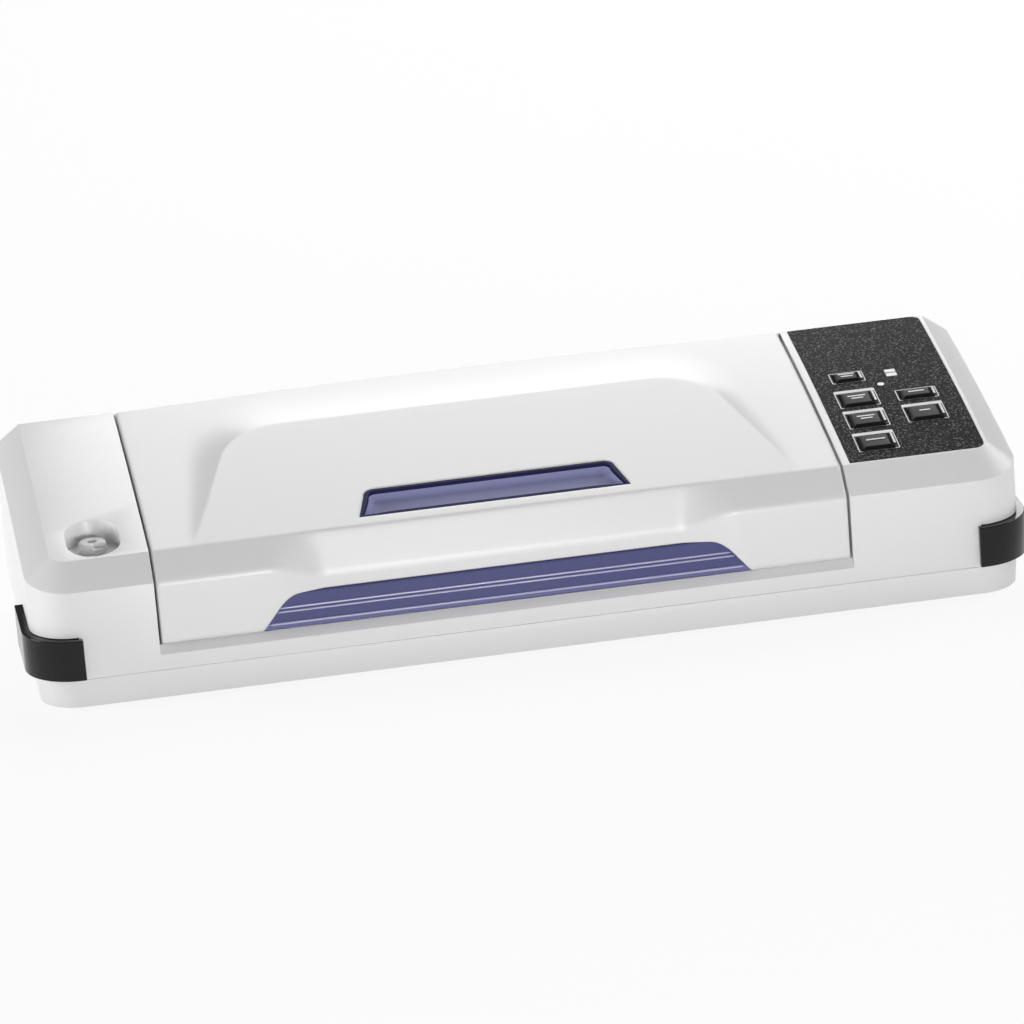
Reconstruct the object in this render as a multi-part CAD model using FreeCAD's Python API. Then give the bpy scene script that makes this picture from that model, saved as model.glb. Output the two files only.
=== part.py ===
# Bench-top vacuum sealer: a long white casing with a hinged lid between two end pods,
# a sloping black control panel, a canister port and two corner release buttons.
# Millimetres, +Z up, +X to the right seen from the front, front face towards -Y.
# The origin is on the table, under the middle of the whole object.
import FreeCAD, Part
import math
import os

from FreeCAD import Vector

# Driving sizes of the casing
CASE_W = 490.0            # width of the white casing
CASE_D = 165.0            # depth of the white casing
WALL = 2.5                # wall of every white moulding
CORNER_R = 22.0           # upright front corners
FOOT_H = 2.0              # rubber feet under the base
BASE_H = 15.2             # height of the base pan
BASE_DRAFT = 1.2          # how far the base pan draws in towards its bottom
BASE_STEP = 1.0           # step at the seam above the base pan
SEAM_GAP = 1.0            # height of the shadow groove below the seam
SEAM_DEEP = 1.0           # depth of that groove
TOP_FRONT_H = 70.9        # height of the top surface carried on to the front face
TOP_REAR_H = 96.4         # height of the top surface at the rear face
TOP_CROWN = 2.0           # bulge of the top surface over its chord
EDGE_DROP = 9.5           # bevel round the top, measured down the walls
EDGE_RUN = 13.0           # bevel round the top, measured along the top surface

# Lid and the bay that it closes
LEFT_POD = 62.0           # width of the left end, up to the lid
RIGHT_POD = 88.0          # width of the right end, from the lid
LID_GAP = 1.2             # gap between lid and pods
LID_LIFT = 0.6            # gap between the lid's lower edge and the deck
DECK_Z = 28.5             # top of the deck under the lid
SILL_D = 8.0              # solid sill in front of the deck
SILL_BEVEL = 4.0          # bevel along the sill
HUMP_D = 53.0             # depth of the raised deck over the pump
HUMP_Z = 56.0             # top of the raised deck
LID_REAR_GAP = 4.0        # slot between the raised deck and the lid's rear skirt

# Finger scoop and grip in the lid's front
SCOOP_D = 6.5             # how far the scoop is set back
SCOOP_Z = 53.0            # crease in the scoop
SCOOP_SIDE = 78.0         # distance of the scoop's flat from the lid's edges
SCOOP_FLARE = 25.0        # run of each slanting end of the scoop
GRIP_Z = 46.0             # top of the blue grip
GRIP_SIDE_BOTTOM = 50.5   # distance of the grip's lower corners from the lid's edges
GRIP_SIDE_TOP = 64.5      # distance of the grip's upper corners from the lid's edges
GRIP_T = 2.2              # thickness of the grip panel
RIB_H = 0.9               # height of the ribs along the grip
RIB_W = 1.6               # width of the ribs along the grip
RIB_ROOT = 0.5            # how deep the ribs are rooted in the grip
GRIP_RIBS = (0.2, 0.5, 0.62)   # places of the ribs, as shares of the grip's height
GRIP_BACK = 0.6           # how far the grip lies behind the lid's front

# Dome on the lid and the window in it
DOME_SINK = 0.3           # how far the dome's foot is sunk into the top surface
DOME_RISE = 7.0           # height of the dome's ridge over the top surface
DOME_RIDGE = 51.5         # distance of the ridge from the rear face
DOME_TAIL = 23.5          # how far behind the rear face the dome would run out
DOME_SIDE_FRONT = 21.0    # distance of the dome from the lid's edges at the front crease
DOME_SIDE_RIDGE = 54.0    # distance of the dome's ridge from the lid's edges
DOME_SIDE_REAR = 24.0     # distance of the dome's end from the lid's edges
WINDOW_FRONT = 7.0        # distance of the window from the front crease
WINDOW_D = 23.5           # depth of the window
WINDOW_SIDE_FRONT = 103.5 # distance of the window's front corners from the lid's edges
WINDOW_SIDE_REAR = 110.0  # distance of the window's rear corners from the lid's edges
WINDOW_R = 5.0            # rounding of the window's rear corners
WINDOW_FRONT_R = 1.5      # rounding of the window's front corners
WINDOW_DEEP = 5.0         # depth of the window's pan
WINDOW_FLOOR = 1.8        # thickness of the pan
WINDOW_SUNK = 0.8         # how far the pan's rim lies below the lid's top
PAN_RIM = 1.6             # width of the pan's rim
PAN_FOOT = 4.0            # distance of the pan's floor from its outline

# Hinge
PIN_R = 2.0               # hinge pin radius
PIN_SNUG = 0.02           # clearance of the pin in the casing's walls
PIN_FIT = 0.06            # running clearance round the pin
EAR_R = 4.5               # boss round the pin in the lid
EAR_L = 10.0              # length of that boss
HINGE_IN = 6.5            # distance of the hinge from the rear face
HINGE_Z = 66.0            # height of the hinge

# Vacuum chamber, seals and seal bar
TROUGH_SIDE = 28.0        # distance of the trough from the lid's edges
TROUGH_FRONT = 36.0       # distance of the trough from the front face
TROUGH_REAR = 18.0        # distance of the trough from the raised deck
TROUGH_DEEP = 10.5        # depth of the trough below the deck
GASKET_OFF = 5.0          # distance of the gasket from the trough
GASKET_W = 6.0            # width of the gaskets
GASKET_H = 4.0            # height of the lower gasket over the deck
SEAL_SIDE = 20.0          # distance of the seal bar's ends from the lid's edges
SEAL_W = 12.0             # width of the seal bar
SEAL_H = 2.6              # height of the seal bar over the deck
SEAL_FRONT = 9.5          # distance of the seal bar from the front face
TAPE_T = 0.4              # thickness of the non-stick tape
TAPE_W = 8.0              # width of the non-stick tape
CLOSED_GAP = 0.6          # gap left between the upper and the lower seals
LINER_UP = 8.5            # underside of the lid's liner over the deck
LINER_T = 2.5             # thickness of the liner
DISH_UP = 9.0             # height of the hollow in the liner
POST_IN = 10.5            # distance of the liner's posts from the lid's edges
STRIP_W = 2.6             # width of the heating strip
STRIP_T = 0.4             # thickness of the heating strip

# Corner release buttons and the latches that they work
BUTTON_H = 20.4           # height of the button
BUTTON_UP = 0.5           # distance of the button from the seam
BUTTON_PROUD = 4.0        # how far the button stands out of the casing
BUTTON_IN = 5.0           # how far the button reaches in behind the surface
BUTTON_SIDE = 60.0        # length of the button along the side
BUTTON_FRONT = 24.0       # length of the button along the front
BUTTON_FLAP = 5.0         # part of the front length that is a flap over the wall
BUTTON_TRAVEL = 3.0       # travel of the button
CLEAR = 0.4               # clearance round sliding pieces
SLIDER_T = 3.0            # thickness of the latch slider
SLIDER_W = 18.0           # width of the latch slider
SLIDER_FRONT = CORNER_R + CLEAR  # the slider starts behind the round corner
SLIDER_UP = 2.3           # distance of the slider from the seam
HOOK_T = 2.0              # thickness of the lid's hook
HOOK_W = 6.0              # width of the lid's hook
HOOK_IN = 8.0             # distance of the hook from the lid's edge
HOOK_SWING = 4.0          # room for the hook's arc as the lid lifts
SPRING_T = 0.5            # thickness of the button's leaf spring
SPRING_W = 8.0            # width of the leaf spring
SPRING_GAP = 10.0         # space that the leaf spring lies in
SPRING_FILL = 0.9         # share of that space that its bow takes up

# Control panel and keys
PANEL_T = 1.2             # thickness of the panel overlay
PANEL_UP = 0.3            # how far the overlay stands over the casing
PANEL_LEFT = 4.0          # distance of the panel from the pod's inner edge
PANEL_RIGHT = 15.0        # distance of the panel from the casing's side
PANEL_MARGIN = 1.2        # white rim in front of and behind the panel
PANEL_R = 5.0             # rounding of the panel's outer corners
KEY_W = 16.6              # width of a key
KEY_D = 15.0              # depth of a tall key
KEY_D_LOW = 10.0          # depth of a low key
KEY_W_SMALL = 13.2        # width of the mode key
KEY_TOP = 1.6             # height of a key over the casing's top
KEY_EDGE = 0.3            # upright edge of a key over the panel
KEY_TAPER = 2.0           # bevel round a key
KEY_FIT = 0.3             # clearance round a key
KEY_TRAVEL = 0.8          # travel of a key
KEY_STEM = 5.5            # stem of a key below the panel's surface
KEY_LIP = 1.0             # lip that keeps a key in its hole
BOARD_T = 1.6             # thickness of the circuit board
BOARD_AT = 0.63           # place of the board's middle, as a share of the panel's depth from the rear
BOARD_SHARE = 0.74        # length of the board as a share of the panel's depth
POST_R = 2.8              # radius of the board's posts
SWITCH_H = 3.0            # height of a switch on the board
SWITCH_W = 6.0            # width of a switch on the board
SWITCH_SHARE = 0.6        # share of a switch's height that is its case
LENS_R = 1.7              # radius of the power lens
LENS_W = 5.4              # width of the two bar lenses
LENS_D = 3.2              # depth of the two bar lenses
# Keys on the panel: name, share of the width from the left, share of the depth from the
# rear, width and depth
KEYS = [
    ("key_mode", 0.254, 0.421, KEY_W_SMALL, KEY_D_LOW),
    ("key_vacuum_seal", 0.255, 0.587, KEY_W, KEY_D),
    ("key_pulse", 0.252, 0.735, KEY_W, KEY_D),
    ("key_canister", 0.245, 0.892, KEY_W, KEY_D),
    ("key_cancel", 0.695, 0.596, KEY_W, KEY_D_LOW),
    ("key_seal", 0.690, 0.736, KEY_W, KEY_D),
]
POWER_LENS_AT = (0.476, 0.495)
BAR_LENSES_AT = [("moist_lens", 0.586, 0.406), ("dry_lens", 0.586, 0.434)]

# Canister port in the left pod
PORT_R = 13.2             # radius of the recess's two round ends
PORT_LONG = 9.5           # distance between the centres of those ends
PORT_DEEP = 11.5          # depth of the recess at its rear
PORT_IN = 37.0            # distance of the port from the front face
PORT_SIDE = 35.7          # distance of the port from the casing's side
NOZZLE_R = 6.8            # radius of the port's nozzle
NOZZLE_H = 5.0            # height of the nozzle
NOZZLE_BORE = 2.5         # bore radius for the canister hose
NOZZLE_DEEP = 12.0        # depth of that bore

# Pieces inside and underneath
FOOT_R = 9.0              # radius of a foot
FOOT_IN = 26.0            # distance of the feet from the casing's sides
SCREW_R = 1.5             # radius of the casing screws
SCREW_HEAD_R = 3.2        # radius of their heads
SCREW_HEAD_H = 1.6        # height of their heads
PILLAR_R = 4.5            # radius of the screw pillars
PILLAR_BORE = 14.0        # depth of the screw holes
PILLAR_IN = 14.0          # distance of the pillars from the walls
MOTOR_R = 18.0            # radius of the pump motor
MOTOR_L = 58.0            # length of the pump motor
PUMP_L = 42.0             # length of the pump head
PUMP_D = 38.0             # depth of the pump head
PUMP_H = 40.0             # height of the pump head
CORE_L = 46.0             # length of the transformer core
CORE_H = 40.0             # height of the transformer core
CORE_D = 26.0             # depth of the transformer core
COIL_D = 42.0             # depth of the transformer coil
COIL_L = 26.0             # length of the transformer coil
CORE_GAP = 12.0           # distance of the transformer from the motor
CORE_SIDE = 19.0          # distance of the transformer from the lid's right edge
HOSE_R = 3.5              # radius of the vacuum hoses
HOSE_BEND = 18.0          # run of each hose bend
VALVE_L = 24.0            # length of the release valve
VALVE_W = 16.0            # width and height of the release valve
VALVE_GAP = 30.0          # distance of the valve from the pump head
SENSOR_W = 12.0           # width of the vacuum sensor
SENSOR_H = 9.0            # height of the vacuum sensor
LID_SWITCH_W = 6.0        # width of a lid switch
LID_SWITCH_H = 6.0        # height of a lid switch
INLET_W = 27.0            # width of the mains inlet
INLET_H = 19.5            # height of the mains inlet
INLET_D = 22.0            # depth of the mains inlet
INLET_RIM = 3.0           # rim round the mains inlet
INLET_RIM_T = 1.2         # thickness of that rim
INLET_WALL = 1.6          # wall of the mains inlet
INLET_CUP = 16.0          # depth of the inlet's socket
INLET_SIDE = 45.0         # distance of the inlet from the casing's side
INLET_UP = 22.0           # height of the inlet's middle over the seam
BLADE_L = 10.0            # length of the inlet's blades
BLADE_W = 4.0             # width of the blades
BLADE_T = 2.0             # thickness of the blades
LOOSE = 0.2               # clearance between pieces that only lie together
PAST = 1.0                # how far a cutting block runs past what it cuts
SLOT_W = 0.8              # width of the slot in a screw's head
SLOT_DEEP = 1.0           # depth of that slot
TRAY_DROP = 2.0           # how far the drip tray's rim lies below the deck
BOSS_L = 4.0              # length of the motor's bearing boss
PUMP_R = 3.0              # rounding of the pump's upright edges
PLUNGER_L = 8.0           # length of the valve's plunger
HOSE_SHARE = 0.6          # height of the hose on the pump, as a share of the pump's height
BEND_SHARE = 0.45         # largest bend of a hose, as a share of its straight runs

# Places worked out from the sizes
FRONT_Y = (BUTTON_PROUD - CASE_D) / 2
REAR_Y = FRONT_Y + CASE_D
HALF_W = CASE_W / 2
BASE_Z = FOOT_H
SEAM_Z = BASE_Z + BASE_H
FLOOR_Z = BASE_Z + WALL
LID_X0 = LEFT_POD - HALF_W
LID_X1 = HALF_W - RIGHT_POD
LID_W = LID_X1 - LID_X0
LID_MID = LID_X0 + LID_W / 2
LID_HALF = LID_W / 2
SCOOP_HALF = LID_HALF - SCOOP_SIDE
GRIP_HALF_BOTTOM = LID_HALF - GRIP_SIDE_BOTTOM
GRIP_HALF_TOP = LID_HALF - GRIP_SIDE_TOP
DOME_HALF_FRONT = LID_HALF - DOME_SIDE_FRONT
DOME_HALF_RIDGE = LID_HALF - DOME_SIDE_RIDGE
DOME_HALF_REAR = LID_HALF - DOME_SIDE_REAR
WINDOW_HALF_FRONT = LID_HALF - WINDOW_SIDE_FRONT
WINDOW_HALF_REAR = LID_HALF - WINDOW_SIDE_REAR
SEAL_L = LID_W - 2 * SEAL_SIDE
PORT_X = PORT_SIDE - HALF_W
CORE_X = LID_X1 - CORE_SIDE - CORE_L
PUMP_X = CORE_X - CORE_GAP - MOTOR_L - PUMP_L
INLET_X = HALF_W - INLET_SIDE
BAY_X0 = LID_X0 - LID_GAP
BAY_X1 = LID_X1 + LID_GAP
LID_Z = DECK_Z + LID_LIFT
HUMP_Y = REAR_Y - HUMP_D
LID_REAR_Z = HUMP_Z + LID_REAR_GAP
HINGE_Y = REAR_Y - HINGE_IN
CREASE_Y = FRONT_Y + EDGE_RUN
HIGH = TOP_REAR_H + 60.0
TROUGH_X0 = LID_X0 + TROUGH_SIDE
TROUGH_X1 = LID_X1 - TROUGH_SIDE
TROUGH_Y0 = FRONT_Y + TROUGH_FRONT
TROUGH_Y1 = HUMP_Y - TROUGH_REAR
TROUGH_Z = DECK_Z - TROUGH_DEEP
LINER_Z = DECK_Z + LINER_UP
GASKET_TOP = DECK_Z + GASKET_H
SEAL_Y0 = FRONT_Y + SEAL_FRONT
SEAL_TOP = DECK_Z + SEAL_H + TAPE_T
SLOPE = (TOP_REAR_H - TOP_FRONT_H) / CASE_D
TILT = math.atan(SLOPE)
HOOK_Y = FRONT_Y + SLIDER_FRONT + SLIDER_W / 2 + HOOK_SWING / 2
SLIDER_Z = SEAM_Z + SLIDER_UP
SLIDER_END = LID_X0 + HOOK_IN + HOOK_T + CLEAR + 2 * WALL
RIDGE_Y = REAR_Y - DOME_RIDGE


# General helpers
def box(x0, x1, y0, y1, z0, z1):
    """A block between two corners."""
    return Part.makeBox(x1 - x0, y1 - y0, z1 - z0, Vector(x0, y0, z0))


def cylinder(radius, length, at, along=Vector(0, 0, 1)):
    """A round bar that starts at a point and runs along a direction."""
    return Part.makeCylinder(radius, length, at, along)


def prism_x(points, x0, x1):
    """A (y, z) outline of straight edges, run along X."""
    corners = [Vector(x0, y, z) for y, z in points]
    face = Part.Face(Part.makePolygon(corners + corners[:1]))
    return face.extrude(Vector(x1 - x0, 0, 0))


def joined(shapes):
    """Several solids fused into one, with leftover seams removed."""
    first, *rest = shapes
    return first.fuse(rest).removeSplitter()


def cut(shape, tools):
    """A solid less several others."""
    return shape.cut(Part.makeCompound(list(tools))) if tools else shape


def mirrored(shape):
    """The same shape on the other side of the casing's middle."""
    return shape.mirror(Vector(0, 0, 0), Vector(1, 0, 0))


def upright_edges(shape):
    """The straight upright edges of a prism."""
    return [e for e in shape.Edges if e.BoundBox.ZLength > max(e.BoundBox.XLength, e.BoundBox.YLength) + PAST]


def top_z(y):
    """Height of the top surface at a distance from the front, on its arc."""
    half = math.hypot(CASE_D, TOP_REAR_H - TOP_FRONT_H) / 2
    radius = (half ** 2 + TOP_CROWN ** 2) / (2 * TOP_CROWN)
    mid_y = (FRONT_Y + REAR_Y) / 2
    mid_z = (TOP_FRONT_H + TOP_REAR_H) / 2
    centre_y = mid_y + (radius - TOP_CROWN) * math.sin(TILT)
    centre_z = mid_z - (radius - TOP_CROWN) * math.cos(TILT)
    return centre_z + math.sqrt(radius ** 2 - (y - centre_y) ** 2)


def under_top(x0, x1, y0, y1, z0, drop=0.0):
    """Everything above z0 and below the top surface lowered by a distance."""
    middle = (y0 + y1) / 2
    front, crown, rear = [Vector(x0, y, top_z(y) - drop) for y in (y0, middle, y1)]
    arc = Part.Arc(front, crown, rear).toShape()
    corners = [rear, Vector(x0, y1, z0), Vector(x0, y0, z0), front]
    sides = [Part.makeLine(a, b) for a, b in zip(corners, corners[1:])]
    return Part.Face(Part.Wire([arc] + sides)).extrude(Vector(x1 - x0, 0, 0))


def envelope(inset):
    """The casing above the seam as one solid block, drawn in on all sides by a distance."""
    x = HALF_W - inset
    y0, y1 = FRONT_Y + inset, REAR_Y - inset
    block = under_top(-x, x, y0, y1, SEAM_Z, inset)
    corners = [e for e in upright_edges(block) if e.BoundBox.YMax < y0 + PAST]
    block = block.makeFillet(CORNER_R - inset, corners)
    rim = [e for e in block.Edges if e.BoundBox.ZMin > SEAM_Z + PAST and e.BoundBox.YMin < y1 - PAST]
    rim = [e for e in rim if e.BoundBox.ZLength < max(e.BoundBox.XLength, e.BoundBox.YLength) + PAST / 2]
    return block.makeChamfer(EDGE_RUN, EDGE_DROP, rim)


def plan_outline(inset, z):
    """The casing's plan, with its two rounded front corners, as a wire at a height."""
    x, y0, y1 = HALF_W - inset, FRONT_Y + inset, REAR_Y - inset
    r = CORNER_R - inset
    bow = r * (1 - math.sqrt(0.5))
    edges = [
        Part.makeLine(Vector(-x + r, y0, z), Vector(x - r, y0, z)),
        Part.Arc(Vector(x - r, y0, z), Vector(x - bow, y0 + bow, z), Vector(x, y0 + r, z)).toShape(),
        Part.makeLine(Vector(x, y0 + r, z), Vector(x, y1, z)),
        Part.makeLine(Vector(x, y1, z), Vector(-x, y1, z)),
        Part.makeLine(Vector(-x, y1, z), Vector(-x, y0 + r, z)),
        Part.Arc(Vector(-x, y0 + r, z), Vector(-x + bow, y0 + bow, z), Vector(-x + r, y0, z)).toShape(),
    ]
    return Part.Wire(edges)


def plan_block(inset, z0, z1):
    """The casing's plan as an upright block."""
    return Part.Face(plan_outline(inset, z0)).extrude(Vector(0, 0, z1 - z0))


def ring(x0, x1, y0, y1, z0, z1, width):
    """A flat frame with rounded corners."""
    outer = box(x0 - width, x1 + width, y0 - width, y1 + width, z0, z1)
    outer = outer.makeFillet(2 * width, upright_edges(outer))
    inner = box(x0, x1, y0, y1, z0, z1)
    return outer.cut(inner.makeFillet(width, upright_edges(inner)))


def tilted(shape, y):
    """A shape drawn round the origin, set on the top surface at y and leant to its slope."""
    turned = shape.copy()
    turned.rotate(Vector(0, 0, 0), Vector(1, 0, 0), math.degrees(TILT))
    turned.translate(Vector(0, y, top_z(y)))
    return turned


def tube(points, radius):
    """A round hose along straight runs joined by arcs."""
    edges, start = [], points[0]
    for before, corner, after in zip(points, points[1:], points[2:]):
        back, ahead = before - corner, after - corner
        turn = math.pi - back.getAngle(ahead)
        reach = min(HOSE_BEND, BEND_SHARE * back.Length, BEND_SHARE * ahead.Length)
        bend = reach / math.tan(turn / 2)
        back.normalize()
        ahead.normalize()
        leave, meet = corner + back * reach, corner + ahead * reach
        middle = back + ahead
        middle.normalize()
        crown = corner + middle * (math.hypot(bend, reach) - bend)
        edges += [Part.makeLine(start, leave), Part.Arc(leave, crown, meet).toShape()]
        start = meet
    edges.append(Part.makeLine(start, points[-1]))
    profile = Part.Wire(Part.makeCircle(radius, points[0], points[1] - points[0]))
    return Part.Wire(edges).makePipeShell([profile], True, False)


# Panel places: shares of the panel's width and depth to the casing's x and y
PANEL_X0 = BAY_X1 + PANEL_LEFT
PANEL_X1 = HALF_W - PANEL_RIGHT
PANEL_Y0 = CREASE_Y + PANEL_MARGIN
PANEL_Y1 = REAR_Y - PANEL_MARGIN


def panel_place(across, back):
    """A place on the panel, from shares of its width and depth."""
    return PANEL_X0 + across * (PANEL_X1 - PANEL_X0), PANEL_Y1 - back * (PANEL_Y1 - PANEL_Y0)


def key_holes(margin):
    """Blocks through the panel where the keys and lenses pass, a little larger than they are."""
    tools = []
    for _, across, back, width, depth in KEYS:
        x, y = panel_place(across, back)
        half_w, half_d = width / 2 + margin, depth / 2 + margin
        tools.append(tilted(box(x - half_w, x + half_w, -half_d, half_d, -4 * WALL, 2 * WALL), y))
    for _, across, back in BAR_LENSES_AT:
        x, y = panel_place(across, back)
        tools.append(tilted(bar_lens(x, LOOSE, 2 * WALL, 4 * WALL), y))
    x, y = panel_place(*POWER_LENS_AT)
    tools.append(tilted(cylinder(LENS_R + LOOSE, 6 * WALL, Vector(x, 0, -4 * WALL)), y))
    return tools


def bar_lens(x, margin, up, down):
    """A bar-shaped light window round the origin."""
    half_w, half_d = LENS_W / 2 + margin, LENS_D / 2 + margin
    return box(x - half_w, x + half_w, -half_d, half_d, -down, up)


# Corner buttons, drawn on the left and mirrored to the right
def button_band(out, inside, side, front, z0, z1):
    """A band round the left front corner between two offsets of the casing's plan."""
    band = plan_block(-out, z0, z1).cut(plan_block(inside, z0, z1))
    reach = box(-HALF_W - out, -HALF_W + front, FRONT_Y - out, FRONT_Y + side, z0, z1)
    return band.common(reach)


BUTTON_Z0 = SEAM_Z + BUTTON_UP
BUTTON_Z1 = BUTTON_Z0 + BUTTON_H
BUTTON_BODY = BUTTON_FRONT - BUTTON_FLAP


def release_button():
    """Black corner button: a band through the wall, a flap over the front wall and a lip inside."""
    body = button_band(BUTTON_PROUD, BUTTON_IN, BUTTON_SIDE, BUTTON_BODY, BUTTON_Z0, BUTTON_Z1)
    flap = button_band(BUTTON_PROUD, -CLEAR, BUTTON_SIDE, BUTTON_FRONT, BUTTON_Z0, BUTTON_Z1)
    flap = flap.common(
        box(-HALF_W + CORNER_R / 2, HALF_W, FRONT_Y - 2 * BUTTON_PROUD, FRONT_Y, BUTTON_Z0, BUTTON_Z1)
    )
    lip_x = -HALF_W + WALL + CLEAR
    lip = box(
        lip_x, -HALF_W + BUTTON_IN, FRONT_Y + CORNER_R + CLEAR, FRONT_Y + BUTTON_SIDE + WALL,
        BUTTON_Z0, BUTTON_Z1 + WALL,
    )
    return joined([body, flap, lip])


def button_window():
    """The opening in the wall that the button slides through."""
    slide = Vector(BUTTON_TRAVEL, 0, 0)
    z0, z1 = SEAM_Z, BUTTON_Z1 + CLEAR
    depth = BUTTON_IN + CLEAR
    still = button_band(
        BUTTON_PROUD + CLEAR, depth, BUTTON_SIDE + CLEAR, BUTTON_BODY + CLEAR, z0, z1
    )
    moved = still.copy()
    moved.translate(slide)
    return joined([still, moved])


def latch_slider():
    """Flat bar from the button to the lid's hook, with a window that the hook drops into."""
    y0 = FRONT_Y + SLIDER_FRONT
    z0, z1 = SLIDER_Z, SLIDER_Z + SLIDER_T
    hook_x = LID_X0 + HOOK_IN
    bar = box(-HALF_W + BUTTON_IN, SLIDER_END, y0, y0 + SLIDER_W, z0, z1)
    slot = box(
        hook_x - BUTTON_TRAVEL - CLEAR, hook_x + HOOK_T + CLEAR,
        HOOK_Y - HOOK_W / 2 - HOOK_SWING, HOOK_Y + HOOK_W / 2 + CLEAR, z0, z1,
    )
    return bar.cut(slot)


def slider_slot():
    """Where the slider passes the bay's side wall."""
    y0 = FRONT_Y + SLIDER_FRONT - CLEAR
    return box(
        BAY_X0 - 2 * WALL, BAY_X0 + WALL, y0, y0 + SLIDER_W + 2 * CLEAR, SEAM_Z, SLIDER_Z + SLIDER_T + CLEAR
    )


def button_spring():
    """Bowed leaf spring between the button and its post on the base pan."""
    x0 = -HALF_W + BUTTON_IN
    x1 = x0 + SPRING_GAP
    y = FRONT_Y + BUTTON_SIDE - SPRING_W
    rise = SPRING_GAP * SPRING_FILL
    z = BUTTON_Z0 + WALL

    def bow(a, b, half):
        return Part.Arc(Vector(a, y, z), Vector(b, y, z + half), Vector(a, y, z + 2 * half)).toShape()

    outer = bow(x1, x0 + CLEAR, rise)
    inner = bow(x1, x0 + CLEAR + SPRING_T, rise - SPRING_T)
    inner.translate(Vector(0, 0, SPRING_T))
    ends = [
        Part.makeLine(outer.Vertexes[0].Point, inner.Vertexes[0].Point),
        Part.makeLine(outer.Vertexes[-1].Point, inner.Vertexes[-1].Point),
    ]
    wire = Part.Wire(Part.__sortEdges__([outer, inner] + ends))
    return Part.Face(wire).extrude(Vector(0, SPRING_W, 0))


def spring_post():
    """Post on the base pan that the left leaf spring leans on."""
    x0 = -HALF_W + BUTTON_IN + SPRING_GAP
    y = FRONT_Y + BUTTON_SIDE - SPRING_W
    return box(x0, x0 + WALL, y - WALL, y + SPRING_W + WALL, BASE_Z + WALL / 2, BUTTON_Z1 + WALL)


# Base pan with its feet and screws
PILLARS = [
    (side * (HALF_W - PILLAR_IN), y)
    for side in (-1, 1)
    for y in (FRONT_Y + BUTTON_SIDE + 2 * PILLAR_IN, REAR_Y - PILLAR_IN)
]


def base_pan():
    """Shallow pan with drawn-in sides, screw holes and the two spring posts."""
    outer = Part.makeLoft(
        [plan_outline(BASE_STEP + BASE_DRAFT, BASE_Z), plan_outline(BASE_STEP, SEAM_Z)], True, True
    )
    hollow = plan_block(BASE_STEP + BASE_DRAFT + WALL, FLOOR_Z, SEAM_Z + WALL)
    groove = plan_block(-PAST, SEAM_Z - SEAM_GAP, SEAM_Z + PAST)
    groove = groove.cut(plan_block(BASE_STEP + SEAM_DEEP, SEAM_Z - 2 * SEAM_GAP, SEAM_Z + 2 * PAST))
    pan = outer.cut(hollow).cut(groove)
    posts = [spring_post(), mirrored(spring_post())]
    rest_h = SEAM_Z - FLOOR_Z - LOOSE + WALL / 2
    rests = [cylinder(PILLAR_R, rest_h, Vector(x, y, BASE_Z + WALL / 2)) for x, y in PILLARS]
    pan = joined([pan] + posts + rests)
    holes = [cylinder(SCREW_R + LOOSE, HIGH, Vector(x, y, 0)) for x, y in PILLARS]
    sinks = [cylinder(SCREW_HEAD_R + LOOSE, SCREW_HEAD_H + LOOSE, Vector(x, y, BASE_Z)) for x, y in PILLARS]
    return cut(pan, holes + sinks)


def base_screws():
    """Screws from below into the casing's pillars."""
    screws = []
    for x, y in PILLARS:
        head = cylinder(SCREW_HEAD_R, SCREW_HEAD_H, Vector(x, y, BASE_Z + LOOSE))
        shank = cylinder(SCREW_R - LOOSE, SEAM_Z - BASE_Z + PILLAR_BORE - WALL, Vector(x, y, BASE_Z + LOOSE))
        half = SLOT_W / 2
        slot = box(x - SCREW_HEAD_R, x + SCREW_HEAD_R, y - half, y + half, BASE_Z, BASE_Z + SLOT_DEEP)
        screws.append(joined([head, shank]).cut(slot))
    return Part.makeCompound(screws)


def feet():
    """Rubber feet stuck under the base pan."""
    side = HALF_W - FOOT_IN - FOOT_R
    places = [(x, y) for x in (-side, side) for y in (FRONT_Y + FOOT_IN, REAR_Y - FOOT_IN)]
    feet_made = []
    for x, y in places:
        disc = cylinder(FOOT_R, FOOT_H, Vector(x, y, 0))
        lower = [e for e in disc.Edges if e.BoundBox.ZMax < FOOT_H / 2]
        feet_made.append(disc.makeChamfer(FOOT_H / 4, lower))
    return Part.makeCompound(feet_made)


# White upper casing
def port_cup(radius, z0):
    """Upright block with two round ends at the canister port."""
    y1 = FRONT_Y + PORT_IN
    y0 = y1 - PORT_LONG
    ends = [cylinder(radius, HIGH, Vector(PORT_X, y, z0)) for y in (y0, y1)]
    return joined(ends + [box(PORT_X - radius, PORT_X + radius, y0, y1, z0, z0 + HIGH)])


PORT_Z = top_z(FRONT_Y + PORT_IN + PORT_R) - PORT_DEEP


def panel_prism(margin):
    """Plan of the control panel with its two rounded outer corners, grown by a margin."""
    block = box(PANEL_X0 - margin, PANEL_X1 + margin, PANEL_Y0 - margin, PANEL_Y1 + margin, SEAM_Z, HIGH)
    outer = [e for e in upright_edges(block) if e.BoundBox.XMin > PANEL_X1 - PAST]
    return block.makeFillet(PANEL_R + margin, outer)


def panel_shape(margin, up, down):
    """The panel's plan between two offsets of the top surface."""
    slab = under_top(PANEL_X0 - WALL, PANEL_X1 + WALL, FRONT_Y, REAR_Y, SEAM_Z, -up)
    slab = slab.cut(under_top(PANEL_X0 - 2 * WALL, PANEL_X1 + 2 * WALL, FRONT_Y, REAR_Y, SEAM_Z - PAST, down))
    return slab.common(panel_prism(margin))


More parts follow.
